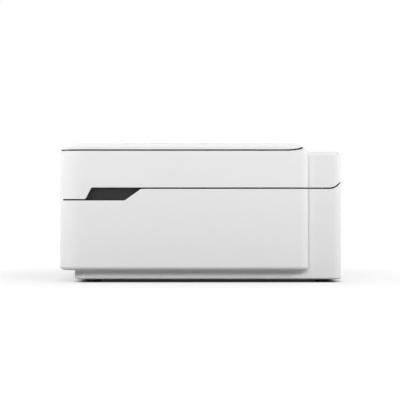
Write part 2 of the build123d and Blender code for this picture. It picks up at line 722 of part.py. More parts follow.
FEED_PHASE = 180.0
IDLER_PHASE = meshed_phase(FEED_TEETH, FEED_PHASE, 180, IDLER_TEETH)
EJECT_PHASE = meshed_phase(IDLER_TEETH, IDLER_PHASE, 180, EJECT_TEETH)
PINION_PHASE = meshed_phase(FEED_TEETH, FEED_PHASE, PINION_ANGLE, PINION_TEETH)
with BuildPart() as feed_gear:
    gear(GEAR_X, (FEED_Y, FEED_Z), FEED_TEETH, FEED_PHASE, 3)
feed_gear.part.label = "feed_gear"
export_step(feed_gear.part, "parts/feed_gear.step")

with BuildPart() as idler_gear:
    gear(GEAR_X, (IDLER_Y, FEED_Z), IDLER_TEETH, IDLER_PHASE, 2.5 + RUN_FIT)
    with BuildSketch(Plane(origin=(GEAR_X[0], IDLER_Y, FEED_Z), x_dir=(0, 1, 0), z_dir=(1, 0, 0))):
        with PolarLocations(10, 5):
            Circle(3.4)
    extrude(amount=GEAR_FACE, mode=Mode.SUBTRACT)
idler_gear.part.label = "idler_gear"
export_step(idler_gear.part, "parts/idler_gear.step")

# Eject roller: shaft with rubber rings, and its gear
with BuildPart() as eject_roller:
    rod_along_x((GEAR_X[0] - 1, FRAME_OUT), EJECT_Y, FEED_Z, PINCH_ROLLER)
    for ring in range(6):
        middle = PATH_X + (ring - 2.5) * 36
        rod_along_x((middle - 6, middle + 6), EJECT_Y, FEED_Z, EJECT_ROLLER)
eject_roller.part.label = "eject_roller"
export_step(eject_roller.part, "parts/eject_roller.step")

with BuildPart() as eject_gear:
    gear(GEAR_X, (EJECT_Y, FEED_Z), EJECT_TEETH, EJECT_PHASE, PINCH_ROLLER)
eject_gear.part.label = "eject_gear"
export_step(eject_gear.part, "parts/eject_gear.step")

# Feed motor inside the left frame, its shaft carrying the pinion
with BuildPart() as feed_motor:
    rod_along_x((-FRAME_IN, -FRAME_IN + FEED_MOTOR_LENGTH), PINION_Y, PINION_Z, FEED_MOTOR)
    fillet(feed_motor.edges().group_by(Axis.X)[-1], 1.5)
    rod_along_x((GEAR_X[0] - 0.5, -FRAME_IN), PINION_Y, PINION_Z, 1.5)
feed_motor.part.label = "feed_motor"
export_step(feed_motor.part, "parts/feed_motor.step")

with BuildPart() as motor_pinion:
    gear(GEAR_X, (PINION_Y, PINION_Z), PINION_TEETH, PINION_PHASE, 1.5 + RUN_FIT)
motor_pinion.part.label = "motor_pinion"
export_step(motor_pinion.part, "parts/motor_pinion.step")

# Pinch rollers on one thin axle, held by a plate on the rail
PINCH_Y = FEED_Y - 2
PINCH_Z = FEED_Z + math.sqrt((FEED_ROLLER + PINCH_ROLLER + JOINT_GAP) ** 2 - (FEED_Y - PINCH_Y) ** 2)
PINCH_PLACES = [PATH_X + (place - 1.5) * 52 for place in range(4)]
with BuildPart() as pinch_rollers:
    rod_along_x((PINCH_PLACES[0] - 22, PINCH_PLACES[-1] + 22), PINCH_Y, PINCH_Z, 1.2)
    for place in PINCH_PLACES:
        rod_along_x((place - 14, place + 14), PINCH_Y, PINCH_Z, PINCH_ROLLER)
pinch_rollers.part.label = "pinch_rollers"
export_step(pinch_rollers.part, "parts/pinch_rollers.step")

with BuildPart() as pinch_holder:
    block((PINCH_PLACES[0] - 24, PINCH_PLACES[-1] + 24), (PINCH_Y - 4, RAIL_Y), (PINCH_Z + 4, PINCH_Z + 6))
    for place in PINCH_PLACES:
        for side in (-1, 1):
            cheek = sorted((place + side * 15, place + side * 18))
            profile_along_x(
                cheek,
                [
                    (PINCH_Y - 2.6, PINCH_Z - 2.2),
                    (PINCH_Y + 2.6, PINCH_Z - 2.2),
                    (PINCH_Y + 4.5, PINCH_Z + 4),
                    (PINCH_Y - 4, PINCH_Z + 4),
                ],
            )
            rod_along_x(cheek, PINCH_Y, PINCH_Z, 1.2 + RUN_FIT, Mode.SUBTRACT)
pinch_holder.part.label = "pinch_holder"
export_step(pinch_holder.part, "parts/pinch_holder.step")

# Star wheels over the eject roller, on one axle in a bar between the side frames
STAR_Z = FEED_Z + EJECT_ROLLER + STAR_WHEEL + JOINT_GAP
STAR_PLACES = [PATH_X + (ring - 2.5) * 36 for ring in range(6)]
with BuildPart() as star_wheels:
    rod_along_x((STAR_PLACES[0] - 6, STAR_PLACES[-1] + 6), EJECT_Y, STAR_Z, 0.9)
    for place in STAR_PLACES:
        points = []
        for tooth in range(24):
            radius = STAR_WHEEL if tooth % 2 == 0 else STAR_WHEEL - 1
            angle = math.pi * tooth / 12
            points.append((radius * math.cos(angle), radius * math.sin(angle)))
        with BuildSketch(Plane(origin=(place - 0.5, EJECT_Y, STAR_Z), x_dir=(0, 1, 0), z_dir=(1, 0, 0))):
            Polygon(*points, align=None)
        extrude(amount=1)
star_wheels.part.label = "star_wheels"
export_step(star_wheels.part, "parts/star_wheels.step")

with BuildPart() as star_wheel_bar:
    profile_along_x(
        (-FRAME_IN, FRAME_IN),
        [
            (EJECT_Y - 6, STAR_Z + 5),
            (EJECT_Y + 4, STAR_Z + 5),
            (EJECT_Y + 4, STAR_Z + 7.5),
            (EJECT_Y - 3.5, STAR_Z + 7.5),
            (EJECT_Y - 6, STAR_Z + 10),
        ],
    )
    for place in STAR_PLACES:
        for side in (-1, 1):
            cheek = sorted((place + side * 2, place + side * 4))
            block(cheek, (EJECT_Y - 2.5, EJECT_Y + 2.5), (STAR_Z - 2, STAR_Z + 5))
            rod_along_x(cheek, EJECT_Y, STAR_Z, 0.9 + RUN_FIT, Mode.SUBTRACT)
star_wheel_bar.part.label = "star_wheel_bar"
export_step(star_wheel_bar.part, "parts/star_wheel_bar.step")

# Pickup arm under the middle frame and the roller at its end
ROLL_Y = ARM_Y + 46
ROLL_Z = CASSETTE_Z + 2 + 9.5 + PICKUP_ROLLER
with BuildPart() as pickup_arm:
    profile_along_x(
        (PATH_X - 8, PATH_X + 8),
        [
            (ARM_Y - 5, ARM_Z - 4.5),
            (ROLL_Y + 1, ROLL_Z - 5),
            (ROLL_Y + 5, ROLL_Z + 3),
            (ARM_Y + 3, ARM_Z + 4.5),
            (ARM_Y - 5, ARM_Z + 4.5),
        ],
        2.5,
    )
    rod_along_x((PATH_X - 25, PATH_X + 25), ARM_Y, ARM_Z, 2.5)
    rod_along_x((PATH_X - 8, PATH_X + 8), ROLL_Y, ROLL_Z, 2 + RUN_FIT, Mode.SUBTRACT)
pickup_arm.part.label = "pickup_arm"
export_step(pickup_arm.part, "parts/pickup_arm.step")

with BuildPart() as pickup_roller:
    rod_along_x((PATH_X - 27, PATH_X + 27), ROLL_Y, ROLL_Z, 2)
    for side in (-1, 1):
        tyre = sorted((PATH_X + side * 9, PATH_X + side * 26))
        rod_along_x(tyre, ROLL_Y, ROLL_Z, PICKUP_ROLLER)
pickup_roller.part.label = "pickup_roller"
export_step(pickup_roller.part, "parts/pickup_roller.step")

# Cassette: tray under the middle frame with a white front and three sliding guides
TRAY_X = (BACK_LEFT, BACK_RIGHT)
TRAY_FLOOR = CASSETTE_Z + 2
CASSETTE_REAR = BOX_REAR - 1
FRONT_PLATE = 4.0
with BuildPart() as cassette_tray:
    block(TRAY_X, (FRONT + FRONT_PLATE, CASSETTE_REAR), (CASSETTE_Z, CASSETTE_Z + CASSETTE_WALL))
    fillet(cassette_tray.edges().filter_by(Axis.Z).group_by(Axis.Y)[-1], 6)
    block(
        (TRAY_X[0] + 2, TRAY_X[1] - 2),
        (FRONT + FRONT_PLATE + 2, CASSETTE_REAR - 2),
        (TRAY_FLOOR, HEIGHT),
        Mode.SUBTRACT,
    )
    block(
        (PATH_X - PAPER / 2 + 5, PATH_X + PAPER / 2 - 5),
        (CASSETTE_REAR - 3, CASSETTE_REAR + 1),
        (TRAY_FLOOR + 5, HEIGHT),
        Mode.SUBTRACT,
    )
    block((-54, 54), (FRONT + FRONT_PLATE, FRONT + FRONT_PLATE + 2), (TRAY_FLOOR, CASSETTE_TOP - 1))
    with BuildSketch(Plane.XY.offset(CASSETTE_Z)):
        with Locations((PATH_X, FRONT + 100)):
            with GridLocations(60, 40, 3, 2):
                SlotOverall(36, 8)
    extrude(amount=2, mode=Mode.SUBTRACT)
cassette_tray.part.label = "cassette_tray"
export_step(cassette_tray.part, "parts/cassette_tray.step")

FRONT_HALF = OPEN_HALF - 0.8
with BuildPart() as cassette_front:
    block((-FRONT_HALF, FRONT_HALF), (FRONT, FRONT + FRONT_PLATE), (SKIRT, CASSETTE_TOP))
    fillet(cassette_front.edges().filter_by(Axis.X).group_by(Axis.Y)[0].group_by(Axis.Z)[0], 2.5)
    with BuildSketch(Plane(origin=(0, FRONT, CASSETTE_TOP), x_dir=(1, 0, 0), z_dir=(0, -1, 0))):
        with BuildLine():
            FilletPolyline((-48, 1), (-42, -13), (42, -13), (48, 1), radius=(6, 6))
            Line((48, 1), (-48, 1))
        make_face()
    extrude(amount=-FRONT_PLATE, mode=Mode.SUBTRACT)
cassette_front.part.label = "cassette_front"
export_step(cassette_front.part, "parts/cassette_front.step")


def width_guide(side):
    """Paper edge guide: foot plate on the tray floor and an upright wall at the paper edge."""
    edge = PATH_X + side * PAPER / 2
    wall = sorted((edge, edge + side * 2.5))
    foot = sorted((edge - side * 45, edge + side * 2.5))
    low = TRAY_FLOOR + JOINT_GAP
    profile_along_x(
        wall,
        [(-70, low), (90, low), (90, low + 18), (70, low + 23), (-40, low + 23), (-70, low + 10)],
    )
    block(foot, (-10, 40), (low, low + 2))
    block(sorted((edge, edge + side * 10)), (-6, 30), (low + 2, low + 12))


with BuildPart() as width_guide_left:
    width_guide(-1)
width_guide_left.part.label = "width_guide_left"
export_step(width_guide_left.part, "parts/width_guide_left.step")

with BuildPart() as width_guide_right:
    width_guide(1)
width_guide_right.part.label = "width_guide_right"
export_step(width_guide_right.part, "parts/width_guide_right.step")

with BuildPart() as length_guide:
    low = TRAY_FLOOR + JOINT_GAP
    profile_along_x(
        (PATH_X - 22, PATH_X + 22),
        [
            (FRONT + 20, low),
            (FRONT + 60, low),
            (FRONT + 60, low + 2),
            (FRONT + 34, low + 2),
            (FRONT + 32, low + 20),
            (FRONT + 28, low + 20),
            (FRONT + 20, low + 4),
        ],
    )
length_guide.part.label = "length_guide"
export_step(length_guide.part, "parts/length_guide.step")

# Output tray on the middle frame, with a fold-up stopper
SHELF_Z = MID_TOP + JOINT_GAP
STOP_Y = FRONT + 9
STOP_Z = SHELF_Z + 5
STOP_LENGTH = 32.0
with BuildPart() as output_tray:
    profile_along_x(
        (-TRAY_HALF, TRAY_HALF),
        [
            (FRONT + 3, SHELF_Z),
            (BAY_REAR - 4, SHELF_Z),
            (BAY_REAR - 4, SHELF_Z + 2),
            (FRONT + 6, SHELF_Z + 2),
            (FRONT + 5, SHELF_Z + 10),
            (FRONT + 2, SHELF_Z + 10),
            (FRONT + 2, SHELF_Z + 1),
        ],
    )
    for side in (-1, 1):
        block(sorted((side * TRAY_HALF, side * (TRAY_HALF - 2))), (FRONT + 5, BAY_REAR - 4), (SHELF_Z, SHELF_Z + 6))
        lug = sorted((side * 31, side * 34))
        block(lug, (STOP_Y - 3, STOP_Y + 3), (SHELF_Z + 2, STOP_Z + 2.5))
        rod_along_x(lug, STOP_Y, STOP_Z, 1.2 + RUN_FIT, Mode.SUBTRACT)
    for rib in range(5):
        middle = (rib - 2) * 48
        if rib != 2:
            block((middle - 1, middle + 1), (FRONT + 30, BAY_REAR - 4), (SHELF_Z + 2, SHELF_Z + 3.5))
output_tray.part.label = "output_tray"
export_step(output_tray.part, "parts/output_tray.step")

with BuildPart() as tray_stopper:
    block((-30, 30), (STOP_Y, STOP_Y + STOP_LENGTH), (STOP_Z - 1.5, STOP_Z + 1.5))
    fillet(tray_stopper.edges().filter_by(Axis.Z).group_by(Axis.Y)[-1], 8)
    rod_along_x((-30, 30), STOP_Y, STOP_Z, 1.5)
    rod_along_x((-34, 34), STOP_Y, STOP_Z, 1.2)
    block((-14, 14), (STOP_Y + STOP_LENGTH - 7, STOP_Y + STOP_LENGTH), (STOP_Z + 0.5, STOP_Z + 2), Mode.SUBTRACT)
tray_stopper.part.label = "tray_stopper"
export_step(tray_stopper.part, "parts/tray_stopper.step")

# Rear cover: pull-off panel with curved paper guides inside
COVER_GAP = 0.5
with BuildPart() as rear_cover:
    block(
        (BACK_LEFT + COVER_GAP, BACK_RIGHT - COVER_GAP),
        (REAR - WALL, REAR),
        (BACK_LOW + COVER_GAP, BACK_HIGH - COVER_GAP),
    )
    for rib in range(7):
        middle = PATH_X + (rib - 3) * 36
        with BuildSketch(Plane.YZ.offset(middle - 1)):
            with BuildLine():
                guide = ThreePointArc(
                    (BOX_REAR + 14, BACK_LOW + 4),
                    (REAR - 9, (BACK_LOW + BACK_HIGH) / 2),
                    (BOX_REAR + 14, BACK_HIGH - 4),
                )
                Polyline(guide @ 1, (REAR - WALL, BACK_HIGH - 4), (REAR - WALL, BACK_LOW + 4), guide @ 0)
            make_face()
        extrude(amount=2)
    with BuildSketch(Plane(origin=(PATH_X, REAR, BACK_HIGH - 18), x_dir=(1, 0, 0), z_dir=(0, 1, 0))):
        with GridLocations(150, 1, 2, 1):
            SlotOverall(40, 14)
    extrude(amount=-1.2, mode=Mode.SUBTRACT)
rear_cover.part.label = "rear_cover"
export_step(rear_cover.part, "parts/rear_cover.step")

# Electrics: power supply with the mains inlet, main board with the data socket
SUPPLY_Y = (REAR - 140, REAR - 12)
with BuildPart() as power_supply:
    block(SUPPLY_X, SUPPLY_Y, (FLOOR, FLOOR + 40))
    chamfer(power_supply.edges().filter_by(Axis.Y).group_by(Axis.Z)[-1], 3)
    with BuildSketch(Plane.XY.offset(FLOOR + 40)):
        with Locations((INLET_X, sum(SUPPLY_Y) / 2)):
            with GridLocations(1, 9, 1, 9):
                SlotOverall(16, 3)
    extrude(amount=-2, mode=Mode.SUBTRACT)
    block((INLET_X - 11, INLET_X + 11), (SUPPLY_Y[1], REAR - WALL), (INLET_Z - 8, INLET_Z + 8))
    with BuildSketch(Plane(origin=(INLET_X, REAR - WALL, INLET_Z), x_dir=(1, 0, 0), z_dir=(0, 1, 0))):
        SlotOverall(17, 10)
    extrude(amount=WALL - 0.3)
    with BuildSketch(Plane(origin=(INLET_X, REAR - 0.3, INLET_Z), x_dir=(1, 0, 0), z_dir=(0, 1, 0))):
        SlotOverall(14.4, 7.6)
        with GridLocations(6.6, 1, 2, 1):
            Circle(1.2, mode=Mode.SUBTRACT)
    extrude(amount=-8, mode=Mode.SUBTRACT)
power_supply.part.label = "power_supply"
export_step(power_supply.part, "parts/power_supply.step")

with BuildPart() as main_board:
    block(BOARD_X, BOARD_Y, (BOARD_Z, BOARD_Z + 1.6))
    top = BOARD_Z + 1.6
    block((SOCKET_X - 6, SOCKET_X + 6), (BOARD_Y[1] - 7, REAR - 0.6), (top, top + 11))
    block((SOCKET_X - 4.2, SOCKET_X + 4.2), (BOARD_Y[1] - 2, REAR), (top + 1.6, top + 9.4), Mode.SUBTRACT)
    block((SOCKET_X - 2.8, SOCKET_X + 2.8), (BOARD_Y[1] - 2, REAR - 2), (top + 4, top + 7))
    middle_x = sum(BOARD_X) / 2
    middle_y = sum(BOARD_Y) / 2
    for shift_x, shift_y, size, rise in ((-8, -20, 20, 2), (16, 4, 14, 2), (-14, 22, 12, 2), (14, -34, 10, 3)):
        with BuildSketch(Plane.XY.offset(top)):
            with Locations((middle_x + shift_x, middle_y + shift_y)):
                Rectangle(size, size)
        extrude(amount=rise)
    for shift in range(4):
        rod_along_z(BOARD_X[1] - 10, middle_y + 26 + 9 * shift, (top, top + 11), 3.4)
    for shift in range(3):
        block(
            (BOARD_X[0] + 1, BOARD_X[0] + 6),
            (BOARD_Y[0] + 12 + 26 * shift, BOARD_Y[0] + 30 + 26 * shift),
            (top, top + 6),
        )
main_board.part.label = "main_board"
export_step(main_board.part, "parts/main_board.step")

# Hinge brackets of the scanner unit, standing on the rear wall
BAY_HALF = (SENSOR_TRAVEL + SENSOR_WIDTH) / 2 + 2
BASE_HALF = BAY_HALF + WALL
BRACKET_X = BASE_HALF - BRACKET_INSET
with BuildPart() as scanner_hinge_brackets:
    for side in (-1, 1):
        plate = sorted((side * BRACKET_X, side * (BRACKET_X + 6)))
        profile_along_x(
            plate,
            [
                (HINGE_Y - HINGE_BOSS, HINGE_Z),
                (HINGE_Y - HINGE_BOSS, MID_TOP + 4),
                (REAR - WALL, MID_TOP + 4),
                (REAR - WALL, LOW_SEAM - 4),
                (HINGE_Y + 0.5, LOW_SEAM + 6),
                (HINGE_Y + 0.5, HINGE_Z),
            ],
        )
        rod_along_x(plate, HINGE_Y, HINGE_Z, HINGE_BOSS)
        rod_along_x(plate, HINGE_Y, HINGE_Z, TRUNNION + RUN_FIT, Mode.SUBTRACT)
scanner_hinge_brackets.part.label = "scanner_hinge_brackets"
export_step(scanner_hinge_brackets.part, "parts/scanner_hinge_brackets.step")

# Scanner cover: upper casing with the fascia, the rear deck and the socket of the lid
WINDOW_REAR = LID_AXIS_Y - LID_CURVE - 8
WINDOW_Y = WINDOW_REAR - WINDOW_LENGTH / 2
PANEL_HALF = PANEL_WIDTH / 2
PANEL_RADIUS = PANEL_DEPTH / 2
PANEL_TOP = CEILING - 2.3
PANEL_LOW = PANEL_TOP - PANEL_HEIGHT
PANEL_FACE = FRONT + PANEL_INSET
PANEL_AXIS_Y = PANEL_FACE + PANEL_RADIUS
PANEL_AXIS_Z = PANEL_TOP - PANEL_RADIUS
with BuildPart() as scanner_cover:
    with BuildSketch(Plane.XY.offset(LOW_SEAM)):
        plan_outline(BOX_HALF, FRONT, BOX_REAR, FRONT_CORNER, SIDE_STEP)
    extrude(amount=HEIGHT - LOW_SEAM)
    with BuildSketch(Plane.XY.offset(LOW_SEAM)):
        plan_outline(CORE_HALF, BOX_REAR - 40, REAR, 0, REAR_CORNER)
    extrude(amount=HEIGHT - LOW_SEAM)
    with BuildSketch(Plane.YZ):
        scanner_profile()
    extrude(amount=WIDTH, both=True, mode=Mode.INTERSECT)
    with BuildSketch(Plane.XY.offset(LOW_SEAM)):
        plan_outline(BOX_HALF - WALL, FRONT + WALL, BOX_REAR - WALL, FRONT_CORNER - WALL, SIDE_STEP - WALL)
    extrude(amount=CEILING - LOW_SEAM, mode=Mode.SUBTRACT)
    with BuildSketch(Plane.XY.offset(LOW_SEAM)):
        plan_outline(CORE_HALF - WALL, BOX_REAR - 40, REAR - WALL, 0, REAR_CORNER - WALL)
    extrude(amount=DECK - WALL - LOW_SEAM, mode=Mode.SUBTRACT)
    with BuildSketch(Plane.XY.offset(CEILING)):
        with Locations((0, WINDOW_Y)):
            RectangleRounded(WINDOW_WIDTH, WINDOW_LENGTH, 3)
    extrude(amount=HEIGHT, mode=Mode.SUBTRACT)
    for side in (-1, 1):
        half = POST_WIDTH / 2 + POST_GAP
        block(
            (side * POST_X - half, side * POST_X + half),
            (LID_AXIS_Y - POST_DEPTH / 2 - POST_GAP, LID_AXIS_Y + POST_DEPTH / 2 + POST_GAP),
            (CEILING - 5, HEIGHT),
            Mode.SUBTRACT,
        )
    block(
        (-PANEL_HALF - PANEL_GAP, PANEL_HALF + PANEL_GAP),
        (FRONT - 1, FRONT + 2 * WALL),
        (PANEL_LOW - PANEL_GAP - 0.4, PANEL_TOP + PANEL_GAP),
        Mode.SUBTRACT,
    )
    for side in (-1, 1):
        groove = sorted((side * (CORE_HALF - SHADOW_DEPTH), side * (CORE_HALF + 1)))
        backing = sorted((side * (CORE_HALF - WALL - LEDGE_DEPTH), side * (CORE_HALF - WALL)))
        ledge = sorted((side * (CORE_HALF - LEDGE_DEPTH), side * (CORE_HALF + 1)))
        slot = sorted((side * (CORE_HALF - WALL), side * (CORE_HALF + 1)))
        ledge_y = (BOX_REAR, REAR - LEDGE_END)
        ledge_z = (DECK - LEDGE_HEIGHT, HEIGHT)
        block(groove, (BOX_REAR, BOX_REAR + SHADOW_WIDTH), (LOW_SEAM, HEIGHT), Mode.SUBTRACT)
        block(backing, ledge_y, (ledge_z[0] - WALL, DECK - WALL))
        block(ledge, ledge_y, ledge_z, Mode.SUBTRACT)
        block(slot, (ledge_y[1] - 1, ledge_y[1]), ledge_z, Mode.SUBTRACT)
scanner_cover.part.label = "scanner_cover"
export_step(scanner_cover.part, "parts/scanner_cover.step")

with BuildPart() as scan_glass:
    with BuildSketch(Plane.XY.offset(CEILING - GLASS)):
        with Locations((0, WINDOW_Y)):
            Rectangle(WINDOW_WIDTH + 2 * GLASS_LAP, WINDOW_LENGTH + 2 * GLASS_LAP)
    extrude(amount=GLASS)
scan_glass.part.label = "scan_glass"
export_step(scan_glass.part, "parts/scan_glass.step")

# Scanner base: tray under the glass with hinge arms, post sleeves and the stud of the idler pulley
BASE_FRONT = WINDOW_Y - WINDOW_LENGTH / 2 - GLASS_LAP - 3
BASE_REAR = WINDOW_REAR + GLASS_LAP + 3
BASE_FLOOR = BASE_Z + 2
SENSOR_X = -BAY_HALF + 2 + SENSOR_WIDTH / 2
SCAN_Y = WINDOW_Y - 4
BELT_LINE = SCAN_Y + 20
SCAN_DRIVE_X = SENSOR_X + 4
SCAN_IDLER_X = -SCAN_DRIVE_X
SCAN_PULLEY_Z = BASE_FLOOR + SCAN_MOTOR + 1
ARM_X = BRACKET_X - 0.6
with BuildPart() as scanner_base:
    block((-BASE_HALF, BASE_HALF), (BASE_FRONT, BASE_REAR), (BASE_Z, CEILING))
    fillet(scanner_base.edges().filter_by(Axis.Z), 6)
    block(
        (-BAY_HALF, BAY_HALF), (BASE_FRONT + WALL, BASE_REAR - WALL), (BASE_FLOOR, CEILING + 1), Mode.SUBTRACT
    )
    for side in (-1, 1):
        arm = sorted((side * (ARM_X - 6), side * ARM_X))
        profile_along_x(
            arm,
            [
                (BASE_REAR - 1, BASE_Z),
                (HINGE_Y, HINGE_Z - HINGE_BOSS),
                (HINGE_Y, HINGE_Z + HINGE_BOSS),
                (BASE_REAR - 1, CEILING - 8),
            ],
        )
        rod_along_x(arm, HINGE_Y, HINGE_Z, HINGE_BOSS)
        pin = sorted((side * ARM_X, side * (BRACKET_X + 6)))
        rod_along_x(pin, HINGE_Y, HINGE_Z, TRUNNION)
        half = POST_WIDTH / 2 + POST_GAP
        block(
            (side * POST_X - half - 3, side * POST_X + half + 3),
            (BASE_REAR - 1, LID_AXIS_Y + POST_DEPTH / 2 + POST_GAP + 3),
            (BASE_Z + 4, CEILING - 6),
        )
        block(
            (side * POST_X - half, side * POST_X + half),
            (LID_AXIS_Y - POST_DEPTH / 2 - POST_GAP, LID_AXIS_Y + POST_DEPTH / 2 + POST_GAP),
            (BASE_Z, CEILING),
            Mode.SUBTRACT,
        )
    rod_along_z(SCAN_IDLER_X, BELT_LINE, (BASE_FLOOR, SCAN_PULLEY_Z - 0.3), 4)
    rod_along_z(SCAN_IDLER_X, BELT_LINE, (SCAN_PULLEY_Z - 0.3, SCAN_PULLEY_Z + 7), 2)
scanner_base.part.label = "scanner_base"
export_step(scanner_base.part, "parts/scanner_base.step")

with BuildPart() as scan_rail:
    rod_along_x((-BAY_HALF, BAY_HALF), SCAN_Y, BASE_FLOOR + 8, SCAN_ROD)
scan_rail.part.label = "scan_rail"
export_step(scan_rail.part, "parts/scan_rail.step")

with BuildPart() as scan_motor:
    rod_along_z(SCAN_DRIVE_X, BELT_LINE, (BASE_FLOOR, BASE_FLOOR + SCAN_MOTOR), 11)
    fillet(scan_motor.edges().group_by(Axis.Z)[-1], 1)
    rod_along_z(SCAN_DRIVE_X, BELT_LINE, (BASE_FLOOR + SCAN_MOTOR, SCAN_PULLEY_Z + 7), 1.5)
scan_motor.part.label = "scan_motor"
export_step(scan_motor.part, "parts/scan_motor.step")


def scan_pulley(x, bore):
    """Flanged pulley of the scan belt, turning about Z."""
    rod_along_z(x, BELT_LINE, (SCAN_PULLEY_Z, SCAN_PULLEY_Z + 6.6), 5)
    for edge in (SCAN_PULLEY_Z, SCAN_PULLEY_Z + 6):
        rod_along_z(x, BELT_LINE, (edge, edge + 0.6), 6.6)
    rod_along_z(x, BELT_LINE, (SCAN_PULLEY_Z - 1, SCAN_PULLEY_Z + 8), bore, Mode.SUBTRACT)


with BuildPart() as scan_drive_pulley:
    scan_pulley(SCAN_DRIVE_X, 1.5 + RUN_FIT)
scan_drive_pulley.part.label = "scan_drive_pulley"
export_step(scan_drive_pulley.part, "parts/scan_drive_pulley.step")

with BuildPart() as scan_idler_pulley:
    scan_pulley(SCAN_IDLER_X, 2 + RUN_FIT)
scan_idler_pulley.part.label = "scan_idler_pulley"
export_step(scan_idler_pulley.part, "parts/scan_idler_pulley.step")

with BuildPart() as scan_belt:
    with BuildSketch(Plane.XY.offset(SCAN_PULLEY_Z + 1.2)):
        with Locations((0, BELT_LINE)):
            SlotCenterToCenter(SCAN_IDLER_X - SCAN_DRIVE_X, 2 * (5 + JOINT_GAP + 1))
            SlotCenterToCenter(SCAN_IDLER_X - SCAN_DRIVE_X, 2 * (5 + JOINT_GAP), mode=Mode.SUBTRACT)
    extrude(amount=4.2)
scan_belt.part.label = "scan_belt"
export_step(scan_belt.part, "parts/scan_belt.step")

# Sensor holder: bridge that slides on the rod, notched over the belt and the motor
SENSOR_SPAN = (SENSOR_X - SENSOR_WIDTH / 2, SENSOR_X + SENSOR_WIDTH / 2)
SENSOR_Z = CEILING - GLASS - 8.5
SENSOR_Y = (WINDOW_Y - WINDOW_LENGTH / 2 + 1, WINDOW_REAR - 1)
with BuildPart() as sensor_holder:
    profile_along_x(
        SENSOR_SPAN,
        [
            (SENSOR_Y[0] - 3, SENSOR_Z + 5),
            (SENSOR_Y[0] - 3, SENSOR_Z - 4),
            (SCAN_Y - 12, SENSOR_Z - 4),
            (SCAN_Y - 8, BASE_FLOOR + 1),
            (SCAN_Y + 6, BASE_FLOOR + 1),
            (SCAN_Y + 6, SENSOR_Z - 3),
            (SENSOR_Y[1] + 3, SENSOR_Z - 3),
            (SENSOR_Y[1] + 3, SENSOR_Z + 5),
        ],
    )
    block((SENSOR_SPAN[0] + 4, SENSOR_SPAN[1] - 4), SENSOR_Y, (SENSOR_Z, SENSOR_Z + 10), Mode.SUBTRACT)
    rod_along_x(SENSOR_SPAN, SCAN_Y, BASE_FLOOR + 8, SCAN_ROD + RUN_FIT, Mode.SUBTRACT)
    block(
        (SENSOR_X - 6, SENSOR_X + 6), (BELT_LINE - 9, BELT_LINE - 6.9), (SCAN_PULLEY_Z + 1, SENSOR_Z - 3)
    )
sensor_holder.part.label = "sensor_holder"
export_step(sensor_holder.part, "parts/sensor_holder.step")

with BuildPart() as image_sensor:
    block((SENSOR_SPAN[0] + 4, SENSOR_SPAN[1] - 4), SENSOR_Y, (SENSOR_Z, CEILING - GLASS - 0.5))
    chamfer(image_sensor.edges().filter_by(Axis.Y).group_by(Axis.Z)[-1], 1.5)
image_sensor.part.label = "image_sensor"
export_step(image_sensor.part, "parts/image_sensor.step")

# Document lid: shallow tray with a round rear nose, reflector plate, posts and pins
POCKET = POST_WIDTH / 2 + POST_GAP
RIB_FRONT = FRONT + 10
RIB_REAR = LID_AXIS_Y - LID_CURVE - 1
with BuildPart() as lid:
    with BuildSketch(Plane.XY.offset(LID_UNDER - 1)):
        plan_outline(
            BOX_HALF - LID_INSET, FRONT + LID_INSET, LID_AXIS_Y + NOSE, FRONT_CORNER - LID_INSET, SIDE_STEP
        )
    extrude(amount=HEIGHT - LID_UNDER + 1)
    fillet(lid.edges().group_by(Axis.Z)[-1], LID_ROUND)
    with BuildSketch(Plane.YZ):
        with BuildLine():
            under = CenterArc(
                (LID_AXIS_Y - LID_CURVE, LID_UNDER + CURVE_RADIUS), CURVE_RADIUS, 270, CURVE_ANGLE
            )
            nose = CenterArc((LID_AXIS_Y, LID_AXIS_Z), NOSE, 270 + CURVE_ANGLE, 180 - CURVE_ANGLE)
            Polyline(nose @ 1, (FRONT, HEIGHT), (FRONT, LID_UNDER), under @ 0)
        make_face()
    extrude(amount=WIDTH, both=True, mode=Mode.INTERSECT)
    with BuildSketch(Plane.XY.offset(LID_UNDER - 1)):
        plan_outline(
            BOX_HALF - LID_INSET - 4, FRONT + LID_INSET + 4, LID_AXIS_Y - 9, FRONT_CORNER - LID_INSET - 4, 6
        )
    extrude(amount=HEIGHT - WALL - LID_UNDER + 1, mode=Mode.SUBTRACT)
    with BuildSketch(Plane.XY.offset(COVER_TOP + JOINT_GAP)):
        with Locations((0, (RIB_FRONT + RIB_REAR) / 2)):
            RectangleRounded(WIDTH - 20, RIB_REAR - RIB_FRONT, 16)
            RectangleRounded(WIDTH - 24, RIB_REAR - RIB_FRONT - 4, 14, mode=Mode.SUBTRACT)
    extrude(amount=HEIGHT - WALL - COVER_TOP - JOINT_GAP)
    for side in (-1, 1):
        block(
            (side * POST_X - POCKET, side * POST_X + POCKET),
            (LID_AXIS_Y - 6.5, BOX_REAR),
            (LID_UNDER - 1, HEIGHT + 1),
            Mode.SUBTRACT,
        )
        rod_along_x((side * POST_X - 20, side * POST_X + 20), LID_AXIS_Y, LID_AXIS_Z, LID_PIN, Mode.SUBTRACT)
lid.part.label = "lid"
export_step(lid.part, "parts/lid.step")

with BuildPart() as lid_pins:
    for side in (-1, 1):
        rod_along_x((side * POST_X - 20, side * POST_X + 20), LID_AXIS_Y, LID_AXIS_Z, LID_PIN)
lid_pins.part.label = "lid_pins"
export_step(lid_pins.part, "parts/lid_pins.step")

